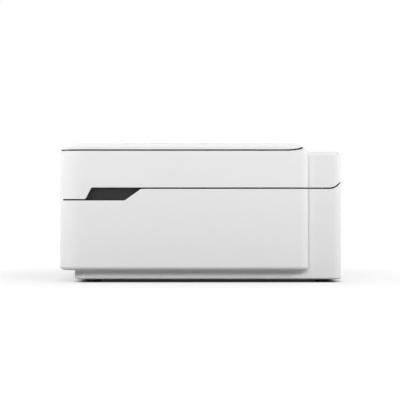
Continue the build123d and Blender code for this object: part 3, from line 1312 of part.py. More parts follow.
with BuildPart() as lid_posts:
    for side in (-1, 1):
        span = (side * POST_X - POST_WIDTH / 2, side * POST_X + POST_WIDTH / 2)
        rod_along_x(span, LID_AXIS_Y, LID_AXIS_Z, NOSE)
        block(span, (LID_AXIS_Y - POST_DEPTH / 2, LID_AXIS_Y + POST_DEPTH / 2), (BASE_Z + 5, LID_AXIS_Z))
        rod_along_x(span, LID_AXIS_Y, LID_AXIS_Z, LID_PIN + RUN_FIT, Mode.SUBTRACT)
lid_posts.part.label = "lid_posts"
export_step(lid_posts.part, "parts/lid_posts.step")

with BuildPart() as reflector_plate:
    with BuildSketch(Plane.XY.offset(CEILING + JOINT_GAP)):
        with Locations((0, WINDOW_Y)):
            RectangleRounded(WINDOW_WIDTH - 4, WINDOW_LENGTH - 4, 3)
    extrude(amount=HEIGHT - WALL - CEILING - JOINT_GAP)
reflector_plate.part.label = "reflector_plate"
export_step(reflector_plate.part, "parts/reflector_plate.step")

# Control panel: hollow housing with a round top about its tilt axis, display and power button
with BuildPart() as control_panel:
    with BuildSketch(Plane.YZ.offset(-PANEL_HALF)):
        with BuildLine():
            crest = CenterArc((PANEL_AXIS_Y, PANEL_AXIS_Z), PANEL_RADIUS, 0, 180)
            FilletPolyline(
                crest @ 1,
                (PANEL_FACE, PANEL_LOW),
                (PANEL_FACE + PANEL_DEPTH, PANEL_LOW),
                crest @ 0,
                radius=(2, 2),
            )
        make_face()
    extrude(amount=PANEL_WIDTH)
    block(
        (-PANEL_HALF + 3, PANEL_HALF - 3),
        (PANEL_FACE + 4, PANEL_FACE + PANEL_DEPTH + 1),
        (PANEL_LOW + 3, PANEL_AXIS_Z - 4),
        Mode.SUBTRACT,
    )
    block(
        (-DISPLAY_WIDTH / 2, DISPLAY_WIDTH / 2),
        (PANEL_FACE - 1, PANEL_FACE + 1.5),
        (PANEL_LOW + 5, PANEL_LOW + 5 + DISPLAY_HEIGHT),
        Mode.SUBTRACT,
    )
    rod_along_y(
        BUTTON_X, (PANEL_FACE - 1, PANEL_FACE + 4), PANEL_LOW + 20, BUTTON + JOINT_GAP, Mode.SUBTRACT
    )
    for side in (-1, 1):
        pin = sorted((side * PANEL_HALF, side * (PANEL_HALF + 4.8)))
        rod_along_x(pin, PANEL_AXIS_Y, PANEL_AXIS_Z, 2.5)
control_panel.part.label = "control_panel"
export_step(control_panel.part, "parts/control_panel.step")

with BuildPart() as display:
    block(
        (-DISPLAY_WIDTH / 2, DISPLAY_WIDTH / 2),
        (PANEL_FACE, PANEL_FACE + 1.5),
        (PANEL_LOW + 5, PANEL_LOW + 5 + DISPLAY_HEIGHT),
    )
display.part.label = "display"
export_step(display.part, "parts/display.step")

with BuildPart() as power_button:
    rod_along_y(BUTTON_X, (PANEL_FACE - 0.8, PANEL_FACE + 5.5), PANEL_LOW + 20, BUTTON)
    fillet(power_button.edges().group_by(Axis.Y)[0], 0.6)
    rod_along_y(BUTTON_X, (PANEL_FACE + 4.3, PANEL_FACE + 5.5), PANEL_LOW + 20, BUTTON + 1.5)
power_button.part.label = "power_button"
export_step(power_button.part, "parts/power_button.step")

# Panel pocket: closed box behind the fascia whose cheeks carry the tilt pins
POCKET_REAR = PANEL_FACE + PANEL_DEPTH + 3
with BuildPart() as panel_pocket:
    block(
        (-PANEL_HALF - PANEL_GAP - 4, PANEL_HALF + PANEL_GAP + 4),
        (FRONT + WALL, POCKET_REAR + 2),
        (PANEL_LOW - 4, CEILING),
    )
    block(
        (-PANEL_HALF - PANEL_GAP, PANEL_HALF + PANEL_GAP),
        (FRONT, POCKET_REAR),
        (PANEL_LOW - PANEL_GAP - 0.4, PANEL_TOP + PANEL_GAP),
        Mode.SUBTRACT,
    )
    rod_along_x(
        (-PANEL_HALF - 5, PANEL_HALF + 5), PANEL_AXIS_Y, PANEL_AXIS_Z, 2.5 + RUN_FIT, Mode.SUBTRACT
    )
panel_pocket.part.label = "panel_pocket"
export_step(panel_pocket.part, "parts/panel_pocket.step")
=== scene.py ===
import math

import bpy
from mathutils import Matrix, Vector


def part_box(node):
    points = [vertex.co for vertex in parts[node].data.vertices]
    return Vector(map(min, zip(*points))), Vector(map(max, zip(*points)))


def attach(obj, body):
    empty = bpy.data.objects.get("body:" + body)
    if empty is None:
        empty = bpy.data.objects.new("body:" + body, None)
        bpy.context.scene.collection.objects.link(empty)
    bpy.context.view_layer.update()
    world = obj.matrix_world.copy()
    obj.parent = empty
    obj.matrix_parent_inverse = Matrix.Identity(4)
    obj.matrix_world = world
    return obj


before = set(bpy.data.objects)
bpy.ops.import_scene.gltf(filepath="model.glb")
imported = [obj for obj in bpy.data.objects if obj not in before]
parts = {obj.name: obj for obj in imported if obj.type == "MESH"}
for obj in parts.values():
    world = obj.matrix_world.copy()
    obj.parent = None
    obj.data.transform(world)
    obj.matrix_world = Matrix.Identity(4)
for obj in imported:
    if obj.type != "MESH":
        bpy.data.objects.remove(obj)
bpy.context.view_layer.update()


# Lower case: the white tray that the printer is built on, with the setback plinth and the rear wall.
# Injection-moulded ABS from a spark-eroded tool, which leaves a fine matte pebble on every outer face,
# and broad, barely visible clouds where the melt cooled at different speeds.
def linear(colour):
    """Linear RGBA of an sRGB hex colour."""
    shares = [int(colour[i:i + 2], 16) / 255 for i in (1, 3, 5)]
    return [s / 12.92 if s <= 0.04045 else ((s + 0.055) / 1.055) ** 2.4 for s in shares] + [1.0]


def node(tree, kind, inputs=None, **settings):
    """Adds one shader node, with its settings and with its inputs linked or set."""
    made = tree.nodes.new(kind)
    for name, value in settings.items():
        setattr(made, name, value)
    for name, value in (inputs or {}).items():
        if isinstance(value, bpy.types.NodeSocket):
            tree.links.new(value, made.inputs[name])
        else:
            made.inputs[name].default_value = value
    return made


def moulded(name, light, dark, grain, relief, matte, polish):
    """Moulded plastic: a pebble of the given grain and relief, between two tones and two roughnesses."""
    cloud_size, pebble_share, bump_strength = 0.11, 0.35, 0.5
    material = bpy.data.materials.new(name)
    material.use_nodes = True
    tree = material.node_tree
    shader = tree.nodes["Principled BSDF"]
    shader.inputs["IOR"].default_value = 1.53
    place = node(tree, "ShaderNodeTexCoord").outputs["Object"]
    cloud = node(tree, "ShaderNodeTexNoise",
                 {"Vector": place, "Scale": 1 / cloud_size, "Detail": 2.0}).outputs[0]
    pebble = node(tree, "ShaderNodeTexNoise",
                  {"Vector": place, "Scale": 1 / grain, "Detail": 2.0}).outputs[0]
    blend = node(tree, "ShaderNodeMix", {0: pebble_share, 2: cloud, 3: pebble}).outputs[0]
    colour = node(tree, "ShaderNodeMix", {0: blend, 6: linear(dark), 7: linear(light)}, data_type="RGBA")
    rough = node(tree, "ShaderNodeMapRange", {"Value": pebble, "From Min": 0.3, "From Max": 0.7,
                                              "To Min": polish, "To Max": matte})
    bump = node(tree, "ShaderNodeBump", {"Height": pebble, "Distance": relief, "Strength": bump_strength})
    tree.links.new(colour.outputs[2], shader.inputs["Base Color"])
    tree.links.new(rough.outputs[0], shader.inputs["Roughness"])
    tree.links.new(bump.outputs[0], shader.inputs["Normal"])
    return material


def coat(material, *names):
    """Gives CAD pieces their finish."""
    for name in names:
        parts[name].material_slots[0].material = material


# The real pebble is about 0.1 mm, far too fine for the picture, so it is drawn at 1.1 mm and shallow.
# The grains of the other plastics and rubbers are drawn coarser than life by about as much.
white_abs = moulded("spark_eroded_white_abs", "#F0F0F0", "#EBEBEB",
                    grain=0.0011, relief=0.00002, matte=0.56, polish=0.46)
coat(white_abs, "lower_case")


# Case screws: four pan-head screws that hold the inner frames, sunk in round wells in the underside.
# Cold-headed steel, zinc-plated after the cross recess is punched, so the recess is as bright as the head.
def plated(name, light, dark, cell, matte, polish):
    """Plated or ground metal: small crystals of the surface take the light each at its own tone."""
    haze_size, haze_share = 0.018, 0.5
    material = bpy.data.materials.new(name)
    material.use_nodes = True
    tree = material.node_tree
    shader = tree.nodes["Principled BSDF"]
    shader.inputs["Metallic"].default_value = 1.0
    place = node(tree, "ShaderNodeTexCoord").outputs["Object"]
    spangle = node(tree, "ShaderNodeTexVoronoi", {"Vector": place, "Scale": 1 / cell}).outputs["Color"]
    haze = node(tree, "ShaderNodeTexNoise",
                {"Vector": place, "Scale": 1 / haze_size, "Detail": 3.0}).outputs[0]
    blend = node(tree, "ShaderNodeMix", {0: haze_share, 2: spangle, 3: haze}).outputs[0]
    colour = node(tree, "ShaderNodeMix", {0: blend, 6: linear(dark), 7: linear(light)}, data_type="RGBA")
    rough = node(tree, "ShaderNodeMapRange", {"Value": blend, "To Min": polish, "To Max": matte})
    tree.links.new(colour.outputs[2], shader.inputs["Base Color"])
    tree.links.new(rough.outputs[0], shader.inputs["Roughness"])
    return material


def pick(piece, kind, test):
    """Goes into edit mode with only the faces or vertices selected whose place passes the test."""
    bpy.ops.object.mode_set(mode="EDIT")
    bpy.ops.mesh.select_mode(type=kind)
    bpy.ops.mesh.select_all(action="DESELECT")
    bpy.ops.object.mode_set(mode="OBJECT")
    if kind == "FACE":
        for face in piece.data.polygons:
            face.select = test(face.center)
    else:
        for point in piece.data.vertices:
            point.select = test(point.co)
    bpy.ops.object.mode_set(mode="EDIT")


def take(piece):
    """Selects one piece alone and makes it the active one."""
    bpy.ops.object.select_all(action="DESELECT")
    piece.select_set(True)
    bpy.context.view_layer.objects.active = piece


def cut_away(piece, cutter):
    """Takes the cutter's volume out of a piece and throws the cutter away."""
    knock_out = piece.modifiers.new("knock_out", "BOOLEAN")
    knock_out.object = cutter
    take(piece)
    bpy.ops.object.modifier_apply(modifier=knock_out.name)
    bpy.data.objects.remove(cutter)


def settle(piece, name, material, body):
    """Names a finished piece, puts its place into its mesh, and lets it ride on a body."""
    piece.name = piece.data.name = name
    take(piece)
    bpy.ops.object.transform_apply(location=True, rotation=True, scale=True)
    bpy.ops.object.shade_smooth_by_angle(angle=math.radians(35))
    piece.data.materials.clear()
    piece.data.materials.append(material)
    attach(piece, body)


# Zinc crystals on a screw are under 0.1 mm, and are drawn at 0.6 mm so that they show.
# The crystals and grit of the other metals are drawn coarser than life too.
zinc_screw = plated("zinc_plated_screw_steel", "#C9CBCD", "#9C9FA2", cell=0.0006, matte=0.42, polish=0.28)
well_x, well_front, well_rear, well_floor = 0.094, -0.1353, 0.154, 0.0055
head_radius, head_height, head_edge = 0.0033, 0.0012, 0.0005
cross_long, cross_wide, cross_tall, cross_down = 0.0038, 0.0009, 0.0014, 0.0013
head_middle = well_floor - head_height / 2
bpy.ops.object.select_all(action="DESELECT")
bpy.ops.mesh.primitive_cylinder_add(vertices=32, radius=head_radius, depth=head_height,
                                    location=(well_x, well_front, head_middle))
screw = bpy.context.object
pick(screw, "VERT", lambda p: p.z < 0)
bpy.ops.mesh.bevel(offset=head_edge, segments=3, affect="EDGES")
bpy.ops.object.mode_set(mode="OBJECT")
for arm in ((cross_wide, cross_long, cross_tall), (cross_long, cross_wide, cross_tall)):
    bpy.ops.object.select_all(action="DESELECT")
    bpy.ops.mesh.primitive_cube_add(size=1, location=(well_x, well_front, well_floor - cross_down))
    bar = bpy.context.object
    bar.scale = arm
    cut_away(screw, bar)
screws = [screw]
for well in ((-well_x, well_front), (well_x, well_rear), (-well_x, well_rear)):
    take(screw)
    bpy.ops.object.duplicate()
    bpy.context.object.location = (*well, head_middle)
    screws.append(bpy.context.object)
for count, piece in enumerate(screws):
    settle(piece, f"case_screw_{count + 1}", zinc_screw, "chassis")


# Feet: four rubber discs pressed into the underside of the lower case.
# Black natural rubber with a dusty, slightly mottled surface.
foot_rubber = moulded("pressed_black_rubber", "#2B2B2C", "#1B1B1C",
                      grain=0.0013, relief=0.00003, matte=0.85, polish=0.7)
coat(foot_rubber, "feet")


# Side covers and rear cover: the white outer walls, clipped to the lower case and the frames.
# The same spark-eroded ABS as the lower case, moulded from the same batch so that the whites agree.
coat(white_abs, "left_side_cover", "right_side_cover", "rear_cover")


# Inner frames: the side frames, the deck over the cassette and the holders that clip to them.
# Black polystyrene with a satin grain, screwed and clipped together inside the casing.
# The grain is drawn at 1.2 mm, about six times its real size.
black_frame = moulded("satin_black_polystyrene", "#1F2022", "#18191B",
                      grain=0.0012, relief=0.00002, matte=0.5, polish=0.36)
coat(black_frame, "frame_left", "frame_right", "mid_frame", "platen", "pinch_holder", "star_wheel_bar",
     "scanner_hinge_brackets", "pickup_arm")


# Power supply: a closed black box behind the left frame, with a two-pin inlet facing the rear wall.
# Flame-retardant polycarbonate, duller than the frames; the two pins are brass with a nickel plate.
def overlay(material, mask, tone, rough=None, metal=False):
    """Lays a second tone over a finish where the mask is 1, with its own roughness, as metal or not."""
    tree = material.node_tree
    sockets = tree.nodes["Principled BSDF"].inputs
    plain = sockets["Base Color"].links[0].from_socket
    colour = node(tree, "ShaderNodeMix", {0: mask, 6: plain, 7: linear(tone)}, data_type="RGBA")
    tree.links.new(colour.outputs[2], sockets["Base Color"])
    if rough is not None:
        ground = sockets["Roughness"].links[0].from_socket
        gloss = node(tree, "ShaderNodeMix", {0: mask, 2: ground, 3: rough})
        tree.links.new(gloss.outputs[0], sockets["Roughness"])
    if metal:
        tree.links.new(mask, sockets["Metallic"])


inlet_low, inlet_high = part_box("power_supply")
inlet_x, inlet_z = (inlet_low[0] + inlet_high[0]) / 2, 0.028
pin_aside, pin_radius, pin_start = 0.0033, 0.00125, 0.1659
supply_case = moulded("flame_retardant_black_polycarbonate", "#222324", "#1B1C1D",
                      grain=0.0009, relief=0.00002, matte=0.62, polish=0.5)
tree = supply_case.node_tree
spot = node(tree, "ShaderNodeSeparateXYZ", {0: node(tree, "ShaderNodeTexCoord").outputs["Object"]}).outputs
beside = node(tree, "ShaderNodeMath", {0: spot[0], 1: inlet_x}, operation="SUBTRACT").outputs[0]
beside = node(tree, "ShaderNodeMath", {0: beside}, operation="ABSOLUTE").outputs[0]
beside = node(tree, "ShaderNodeMath", {0: beside, 1: pin_aside}, operation="SUBTRACT").outputs[0]
above = node(tree, "ShaderNodeMath", {0: spot[2], 1: inlet_z}, operation="SUBTRACT").outputs[0]
from_pin = node(tree, "ShaderNodeCombineXYZ", {0: beside, 1: above}).outputs[0]
from_pin = node(tree, "ShaderNodeVectorMath", {0: from_pin}, operation="LENGTH").outputs["Value"]
near = node(tree, "ShaderNodeMath", {0: from_pin, 1: pin_radius}, operation="LESS_THAN").outputs[0]
behind = node(tree, "ShaderNodeMath", {0: spot[1], 1: pin_start}, operation="GREATER_THAN").outputs[0]
pin = node(tree, "ShaderNodeMath", {0: near, 1: behind}, operation="MULTIPLY").outputs[0]
overlay(supply_case, pin, "#C8C4B8", rough=0.25, metal=True)
coat(supply_case, "power_supply")


# Main board: a green glass-epoxy board on four posts, with chips, capacitors and the data socket.
# Solder mask lies over etched copper, whose tracks show as a lighter green maze; the chips are black epoxy,
# and the socket at the rear wall is a folded tin-plated can.
board_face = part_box("main_board")[0][2] + 0.00165
socket_start, maze_pitch, track_share, resin_grain = 0.1568, 0.007, 0.09, 0.0012
laminate = bpy.data.materials.new("green_glass_epoxy_board")
laminate.use_nodes = True
tree = laminate.node_tree
shader = tree.nodes["Principled BSDF"]
place = node(tree, "ShaderNodeTexCoord").outputs["Object"]
spot = node(tree, "ShaderNodeSeparateXYZ", {0: place}).outputs
maze = node(tree, "ShaderNodeTexVoronoi", {"Vector": place, "Scale": 1 / maze_pitch}, distance="CHEBYCHEV",
            feature="DISTANCE_TO_EDGE").outputs["Distance"]
track = node(tree, "ShaderNodeMath", {0: maze, 1: track_share}, operation="LESS_THAN").outputs[0]
solder_mask = node(tree, "ShaderNodeMix", {0: track, 6: linear("#0F4A2A"), 7: linear("#1E6B3C")},
                   data_type="RGBA").outputs[2]
resin = node(tree, "ShaderNodeTexNoise",
             {"Vector": place, "Scale": 1 / resin_grain, "Detail": 2.0}).outputs[0]
chip = node(tree, "ShaderNodeMix", {0: resin, 6: linear("#161618"), 7: linear("#242427")},
            data_type="RGBA").outputs[2]
fitted = node(tree, "ShaderNodeMath", {0: spot[2], 1: board_face}, operation="GREATER_THAN").outputs[0]
socket = node(tree, "ShaderNodeMath", {0: spot[1], 1: socket_start}, operation="GREATER_THAN").outputs[0]
socket = node(tree, "ShaderNodeMath", {0: socket, 1: fitted}, operation="MULTIPLY").outputs[0]
colour = node(tree, "ShaderNodeMix", {0: fitted, 6: solder_mask, 7: chip}, data_type="RGBA").outputs[2]
colour = node(tree, "ShaderNodeMix", {0: socket, 6: colour, 7: linear("#BFC1C3")},
              data_type="RGBA").outputs[2]
rough = node(tree, "ShaderNodeMapRange", {"Value": resin, "To Min": 0.28, "To Max": 0.5}).outputs[0]
tree.links.new(colour, shader.inputs["Base Color"])
tree.links.new(rough, shader.inputs["Roughness"])
tree.links.new(socket, shader.inputs["Metallic"])
coat(laminate, "main_board")


# Rails and motors: the bent carriage rail, the scan rail and the cans of the three motors.
# Zinc-plated steel sheet with a grey spangle, bright where it is drawn round the motors.
# The crystals are drawn at 3 mm, a little larger than on the real sheet.
zinc_sheet = plated("zinc_plated_steel_sheet", "#C2C5C8", "#989CA0", cell=0.003, matte=0.46, polish=0.3)
coat(zinc_sheet, "carriage_rail", "carriage_motor", "feed_motor", "scan_rail", "scan_motor")


# Belts: two closed toothed belts, one for the print carriage and one for the scan carriage.
# Black neoprene with a fabric face; the 2 mm teeth show as fine ribs across the belt.
def ribbed(material, pitch, relief, strength):
    """Lays ribs of the given pitch across a piece; a wave of scale 1 repeats every pi / 10 metres."""
    tree = material.node_tree
    place = node(tree, "ShaderNodeTexCoord").outputs["Object"]
    ribs = node(tree, "ShaderNodeTexWave", {"Vector": place, "Scale": math.pi / (10 * pitch)}).outputs[1]
    bump = node(tree, "ShaderNodeBump", {"Height": ribs, "Distance": relief, "Strength": strength})
    tree.links.new(bump.outputs[0], tree.nodes["Principled BSDF"].inputs["Normal"])


neoprene = moulded("toothed_black_neoprene", "#262627", "#19191A",
                   grain=0.0008, relief=0.00002, matte=0.8, polish=0.65)
ribbed(neoprene, pitch=0.002, relief=0.0002, strength=0.7)
coat(neoprene, "carriage_belt", "scan_belt")


# Gears, pulleys and pinch rollers: the light moving pieces of the paper and carriage drives.
# Natural acetal, milky and a little waxy, turned or moulded with no grain to speak of.
acetal = moulded("natural_acetal", "#E6E3D8", "#DAD7CB",
                 grain=0.0016, relief=0.00001, matte=0.42, polish=0.3)
acetal.node_tree.nodes["Principled BSDF"].inputs["Subsurface Weight"].default_value = 0.15
acetal.node_tree.nodes["Principled BSDF"].inputs["Subsurface Scale"].default_value = 0.001
coat(acetal, "feed_gear", "idler_gear", "eject_gear", "drive_pulley", "idler_pulley",
     "scan_drive_pulley", "scan_idler_pulley", "pinch_rollers")


# Motor pinion: the small gear pressed on the shaft of the feed motor.
# Free-cutting brass, hobbed from bar, with turning marks round it drawn 0.4 mm apart.
turned_brass = plated("free_cutting_brass", "#D2AE68", "#B48F4C", cell=0.0012, matte=0.34, polish=0.22)
ribbed(turned_brass, pitch=0.0004, relief=0.00001, strength=0.6)
coat(turned_brass, "motor_pinion")


# Feed roller, star wheels and lid pins: the bare steel of the paper path and of the lid's hinge.
# The roller is ground steel with a grit coat that grips the sheet, drawn coarser than its real 0.1 mm;
# the spiked wheels are etched from stainless foil and the pins are cut from drawn wire.
grit_steel = plated("grit_coated_ground_steel", "#A9ABAD", "#7E8183", cell=0.0007, matte=0.6, polish=0.45)
coat(grit_steel, "feed_roller")
stainless = plated("etched_stainless_foil", "#C4C5C6", "#A6A8AA", cell=0.0009, matte=0.36, polish=0.22)
coat(stainless, "star_wheels", "lid_pins")


# Eject roller and pickup roller: rubber tyres pressed on steel shafts.
# The tyres are ground after moulding, which leaves them dull, with a fine nap round them.
def tyre_on_shaft(name, light, dark, axis_y, axis_z, shaft):
    """Ground rubber outside the shaft's radius, drawn steel inside it."""
    material = moulded(name, light, dark, grain=0.0009, relief=0.00003, matte=0.9, polish=0.75)
    tree = material.node_tree
    place = node(tree, "ShaderNodeTexCoord").outputs["Object"]
    axis = (0, axis_y, axis_z)
    out = node(tree, "ShaderNodeVectorMath", {0: place, 1: axis}, operation="SUBTRACT").outputs[0]
    out = node(tree, "ShaderNodeVectorMath", {0: out, 1: (0, 1, 1)}, operation="MULTIPLY").outputs[0]
    out = node(tree, "ShaderNodeVectorMath", {0: out}, operation="LENGTH").outputs["Value"]
    steel = node(tree, "ShaderNodeMath", {0: out, 1: shaft}, operation="LESS_THAN").outputs[0]
    overlay(material, steel, "#B0B2B4", rough=0.35, metal=True)
    return material


grey_tyre = tyre_on_shaft("ground_grey_rubber_on_steel", "#5A5B5D", "#48494B",
                          axis_y=0.024, axis_z=0.066, shaft=0.0035)
coat(grey_tyre, "eject_roller")
black_tyre = tyre_on_shaft("ground_black_rubber_on_steel", "#3A3A3B", "#2A2A2B",
                           axis_y=0.108, axis_z=0.0383, shaft=0.003)
coat(black_tyre, "pickup_roller")


# Capping station: the parking place of the print head, with a soft lip that seals the nozzles.
# Grey acetal body, overmoulded with a black elastomer lip.
cap_lip_start = 0.06705
cap_body = moulded("grey_acetal_with_black_lip", "#8E9092", "#828486",
                   grain=0.0012, relief=0.00002, matte=0.5, polish=0.38)
tree = cap_body.node_tree
spot = node(tree, "ShaderNodeSeparateXYZ", {0: node(tree, "ShaderNodeTexCoord").outputs["Object"]}).outputs
cap_lip = node(tree, "ShaderNodeMath", {0: spot[2], 1: cap_lip_start}, operation="GREATER_THAN").outputs[0]
overlay(cap_body, cap_lip, "#1C1C1D")
coat(cap_body, "capping_station")


# Cap sponge: the absorbent pad in the floor of the cap, which keeps the nozzles moist.
# Open-cell polyvinyl foam, punched from sheet, greyish with a little dried ink in its pores.
sponge = moulded("open_cell_polyvinyl_foam", "#B9B7B2", "#7C7A78",
                 grain=0.0008, relief=0.0003, matte=0.98, polish=0.9)
pad_place, pad_size, pad_edge = (0.1202, 0.055, 0.06575), (0.0352, 0.0212, 0.0015), 0.0004
bpy.ops.object.select_all(action="DESELECT")
bpy.ops.mesh.primitive_cube_add(size=1, location=pad_place)
pad = bpy.context.object
pad.scale = pad_size
bpy.ops.object.transform_apply(location=False, rotation=False, scale=True)
pick(pad, "VERT", lambda p: True)
bpy.ops.mesh.bevel(offset=pad_edge, segments=2, affect="EDGES")
bpy.ops.object.mode_set(mode="OBJECT")
settle(pad, "cap_sponge", sponge, "chassis")


# Print carriage: the box that runs along the rail with the ink cartridges in it.
# Glass-filled black polystyrene, a little greyer than the frames because of the fibres.
carriage_black = moulded("glass_filled_black_polystyrene", "#2A2B2D", "#1C1D1F",
                         grain=0.0007, relief=0.00002, matte=0.55, polish=0.42)
coat(carriage_black, "print_carriage")


# Print head: the block under the carriage that the ink leaves by.
# Its face is a stainless nozzle plate, lapped flat and bonded on, nearly a mirror.
nozzle_steel = plated("lapped_nozzle_plate", "#B9BBBC", "#A4A6A7", cell=0.0008, matte=0.26, polish=0.16)
coat(nozzle_steel, "print_head")


# Ink cartridges: four tanks side by side in the carriage.
# Smoked polypropylene, moulded so dark that no ink shows through, with a soft shine.
smoked_tank = moulded("smoked_polypropylene", "#1E1E20", "#141416",
                      grain=0.0014, relief=0.00001, matte=0.34, polish=0.24)
coat(smoked_tank, "ink_cartridges")


# Cartridge labels: one coloured paper label on each tank, with a white drop printed on it.
# Coated label paper, die-cut with round corners, satin from the varnish.
# What is stuck or printed on a CAD piece stands 0.01 mm clear of it, so that no two faces share a plane.
def close_up():
    """Turns every face of the mesh in hand outwards and leaves edit mode."""
    bpy.ops.mesh.select_all(action="SELECT")
    bpy.ops.mesh.normals_make_consistent(inside=False)
    bpy.ops.object.mode_set(mode="OBJECT")


air, ink_film = 0.00001, 0.00003
tank_low, tank_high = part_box("ink_cartridges")
tank_pitch, tank_top = 0.0158, tank_high[2]
label_size, label_y, label_corner, label_paper = (0.0112, 0.0250, 1), 0.0575, 0.0015, 0.00009
drop_y, drop_radius, drop_point, drop_shoulder = 0.0515, 0.0024, 0.0028, 0.0006
label_colours = (("black", "#2E2E30", "#262628"), ("cyan", "#1B9CC8", "#1690BC"),
                 ("magenta", "#C4327E", "#B82A74"), ("yellow", "#E8C928", "#DEBE20"))
drop_ink = moulded("white_label_ink", "#F2F2F0", "#EAEAE8",
                   grain=0.0006, relief=0.00001, matte=0.5, polish=0.4)
for count, (ink, light, dark) in enumerate(label_colours):
    middle = (tank_low[0] + tank_high[0]) / 2 + (count - 1.5) * tank_pitch
    varnish = moulded(f"varnished_{ink}_label_paper", light, dark,
                      grain=0.0006, relief=0.00001, matte=0.42, polish=0.32)
    bpy.ops.object.select_all(action="DESELECT")
    bpy.ops.mesh.primitive_plane_add(size=1, location=(middle, label_y, tank_top + air))
    label = bpy.context.object
    label.scale = label_size
    bpy.ops.object.transform_apply(location=False, rotation=False, scale=True)
    pick(label, "VERT", lambda p: True)
    bpy.ops.mesh.bevel(offset=label_corner, segments=4, affect="VERTICES")
    bpy.ops.mesh.extrude_region_move(TRANSFORM_OT_translate={"value": (0, 0, label_paper)})
    close_up()
    settle(label, f"{ink}_label", varnish, "carriage")
    bpy.ops.object.select_all(action="DESELECT")
    bpy.ops.mesh.primitive_circle_add(vertices=24, radius=drop_radius, fill_type="NGON",
                                      location=(middle, drop_y, tank_top + air + label_paper))
    drop = bpy.context.object
    pick(drop, "VERT", lambda p: p.y > 0.99 * drop_radius)
    bpy.ops.transform.translate(value=(0, drop_point, 0))
    pick(drop, "VERT", lambda p: 0.88 * drop_radius < p.y < 1.04 * drop_radius)
    bpy.ops.transform.translate(value=(0, drop_shoulder, 0))
    pick(drop, "FACE", lambda p: True)
    bpy.ops.mesh.extrude_region_move(TRANSFORM_OT_translate={"value": (0, 0, ink_film)})
    close_up()
    settle(drop, f"{ink}_label_drop", drop_ink, "carriage")


# Paper cassette and its guides: the drawer under the deck, its two side guides and its end stop.
# Dark grey ABS with a coarser grain than the casing, because paper and hands rub on it;
# the front of the drawer is white ABS, as the casing round it is.
grey_abs = moulded("coarse_dark_grey_abs", "#45474B", "#3A3C40",
                   grain=0.0015, relief=0.00003, matte=0.6, polish=0.46)
coat(grey_abs, "cassette_tray", "width_guide_left", "width_guide_right", "length_guide")
coat(white_abs, "cassette_front")


# Output tray and its stopper: the sliding shelf above the cassette and the flap that stops the sheets.
# The same dark grey ABS as the cassette, from a tool with the same grain.
coat(grey_abs, "output_tray", "tray_stopper")


# Scanner unit: the white upper casing, and under it the black bed, the sensor's holder and the panel's
# pocket. Casing in the same ABS as the side covers; the inner pieces are screwed up into it, in the same
# black polystyrene as the frames.
coat(white_abs, "scanner_cover")
coat(black_frame, "scanner_base", "sensor_holder", "panel_pocket")


# Image sensor: the long bar that travels under the glass.
# Black housing with a strip of rod lenses along its top, which shows as one pale line.
sensor_low, sensor_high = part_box("image_sensor")
sensor_middle, lens_half = (sensor_low[0] + sensor_high[0]) / 2, 0.0012
lens_start = sensor_high[2] - 0.0003
sensor_bar = moulded("black_sensor_bar_with_lens_strip", "#202124", "#17181A",
                     grain=0.001, relief=0.00001, matte=0.4, polish=0.28)
tree = sensor_bar.node_tree
spot = node(tree, "ShaderNodeSeparateXYZ", {0: node(tree, "ShaderNodeTexCoord").outputs["Object"]}).outputs
aside = node(tree, "ShaderNodeMath", {0: spot[0], 1: sensor_middle}, operation="SUBTRACT").outputs[0]
aside = node(tree, "ShaderNodeMath", {0: aside}, operation="ABSOLUTE").outputs[0]
lenses = node(tree, "ShaderNodeMath", {0: aside, 1: lens_half}, operation="LESS_THAN").outputs[0]
high = node(tree, "ShaderNodeMath", {0: spot[2], 1: lens_start}, operation="GREATER_THAN").outputs[0]
lenses = node(tree, "ShaderNodeMath", {0: lenses, 1: high}, operation="MULTIPLY").outputs[0]
overlay(sensor_bar, lenses, "#B8C4C0")
coat(sensor_bar, "image_sensor")


# Scan glass: a sheet of float glass glued under the window of the scanner's casing.
# Clear, with the faint green of its iron; the polish varies a little where it has been wiped.
wipe_size = 0.045
float_glass = bpy.data.materials.new("polished_float_glass")
float_glass.use_nodes = True
tree = float_glass.node_tree
shader = tree.nodes["Principled BSDF"]
shader.inputs["Transmission Weight"].default_value = 1.0
shader.inputs["IOR"].default_value = 1.52
place = node(tree, "ShaderNodeTexCoord").outputs["Object"]
wipe = node(tree, "ShaderNodeTexNoise", {"Vector": place, "Scale": 1 / wipe_size, "Detail": 3.0}).outputs[0]
rough = node(tree, "ShaderNodeMapRange", {"Value": wipe, "From Min": 0.35, "From Max": 0.7,
                                          "To Min": 0.01, "To Max": 0.05})
tint = node(tree, "ShaderNodeMix", {0: wipe, 6: linear("#DCEBE4"), 7: linear("#E4F0EA")}, data_type="RGBA")
tree.links.new(rough.outputs[0], shader.inputs["Roughness"])
tree.links.new(tint.outputs[2], shader.inputs["Base Color"])
coat(float_glass, "scan_glass")


# Bed film: the dark sheet stuck on the top of the scanner's casing, round the window.
# Satin black polyester film, die-cut, about 0.15 mm thick; it hides the glue line of the glass, and its
# black is also painted shade that keeps the lid's seam above it dark.
def weld(first, others):
    """Joins other pieces into the first one's mesh."""
    take(first)
    for piece in others:
        piece.select_set(True)
    bpy.ops.object.join()


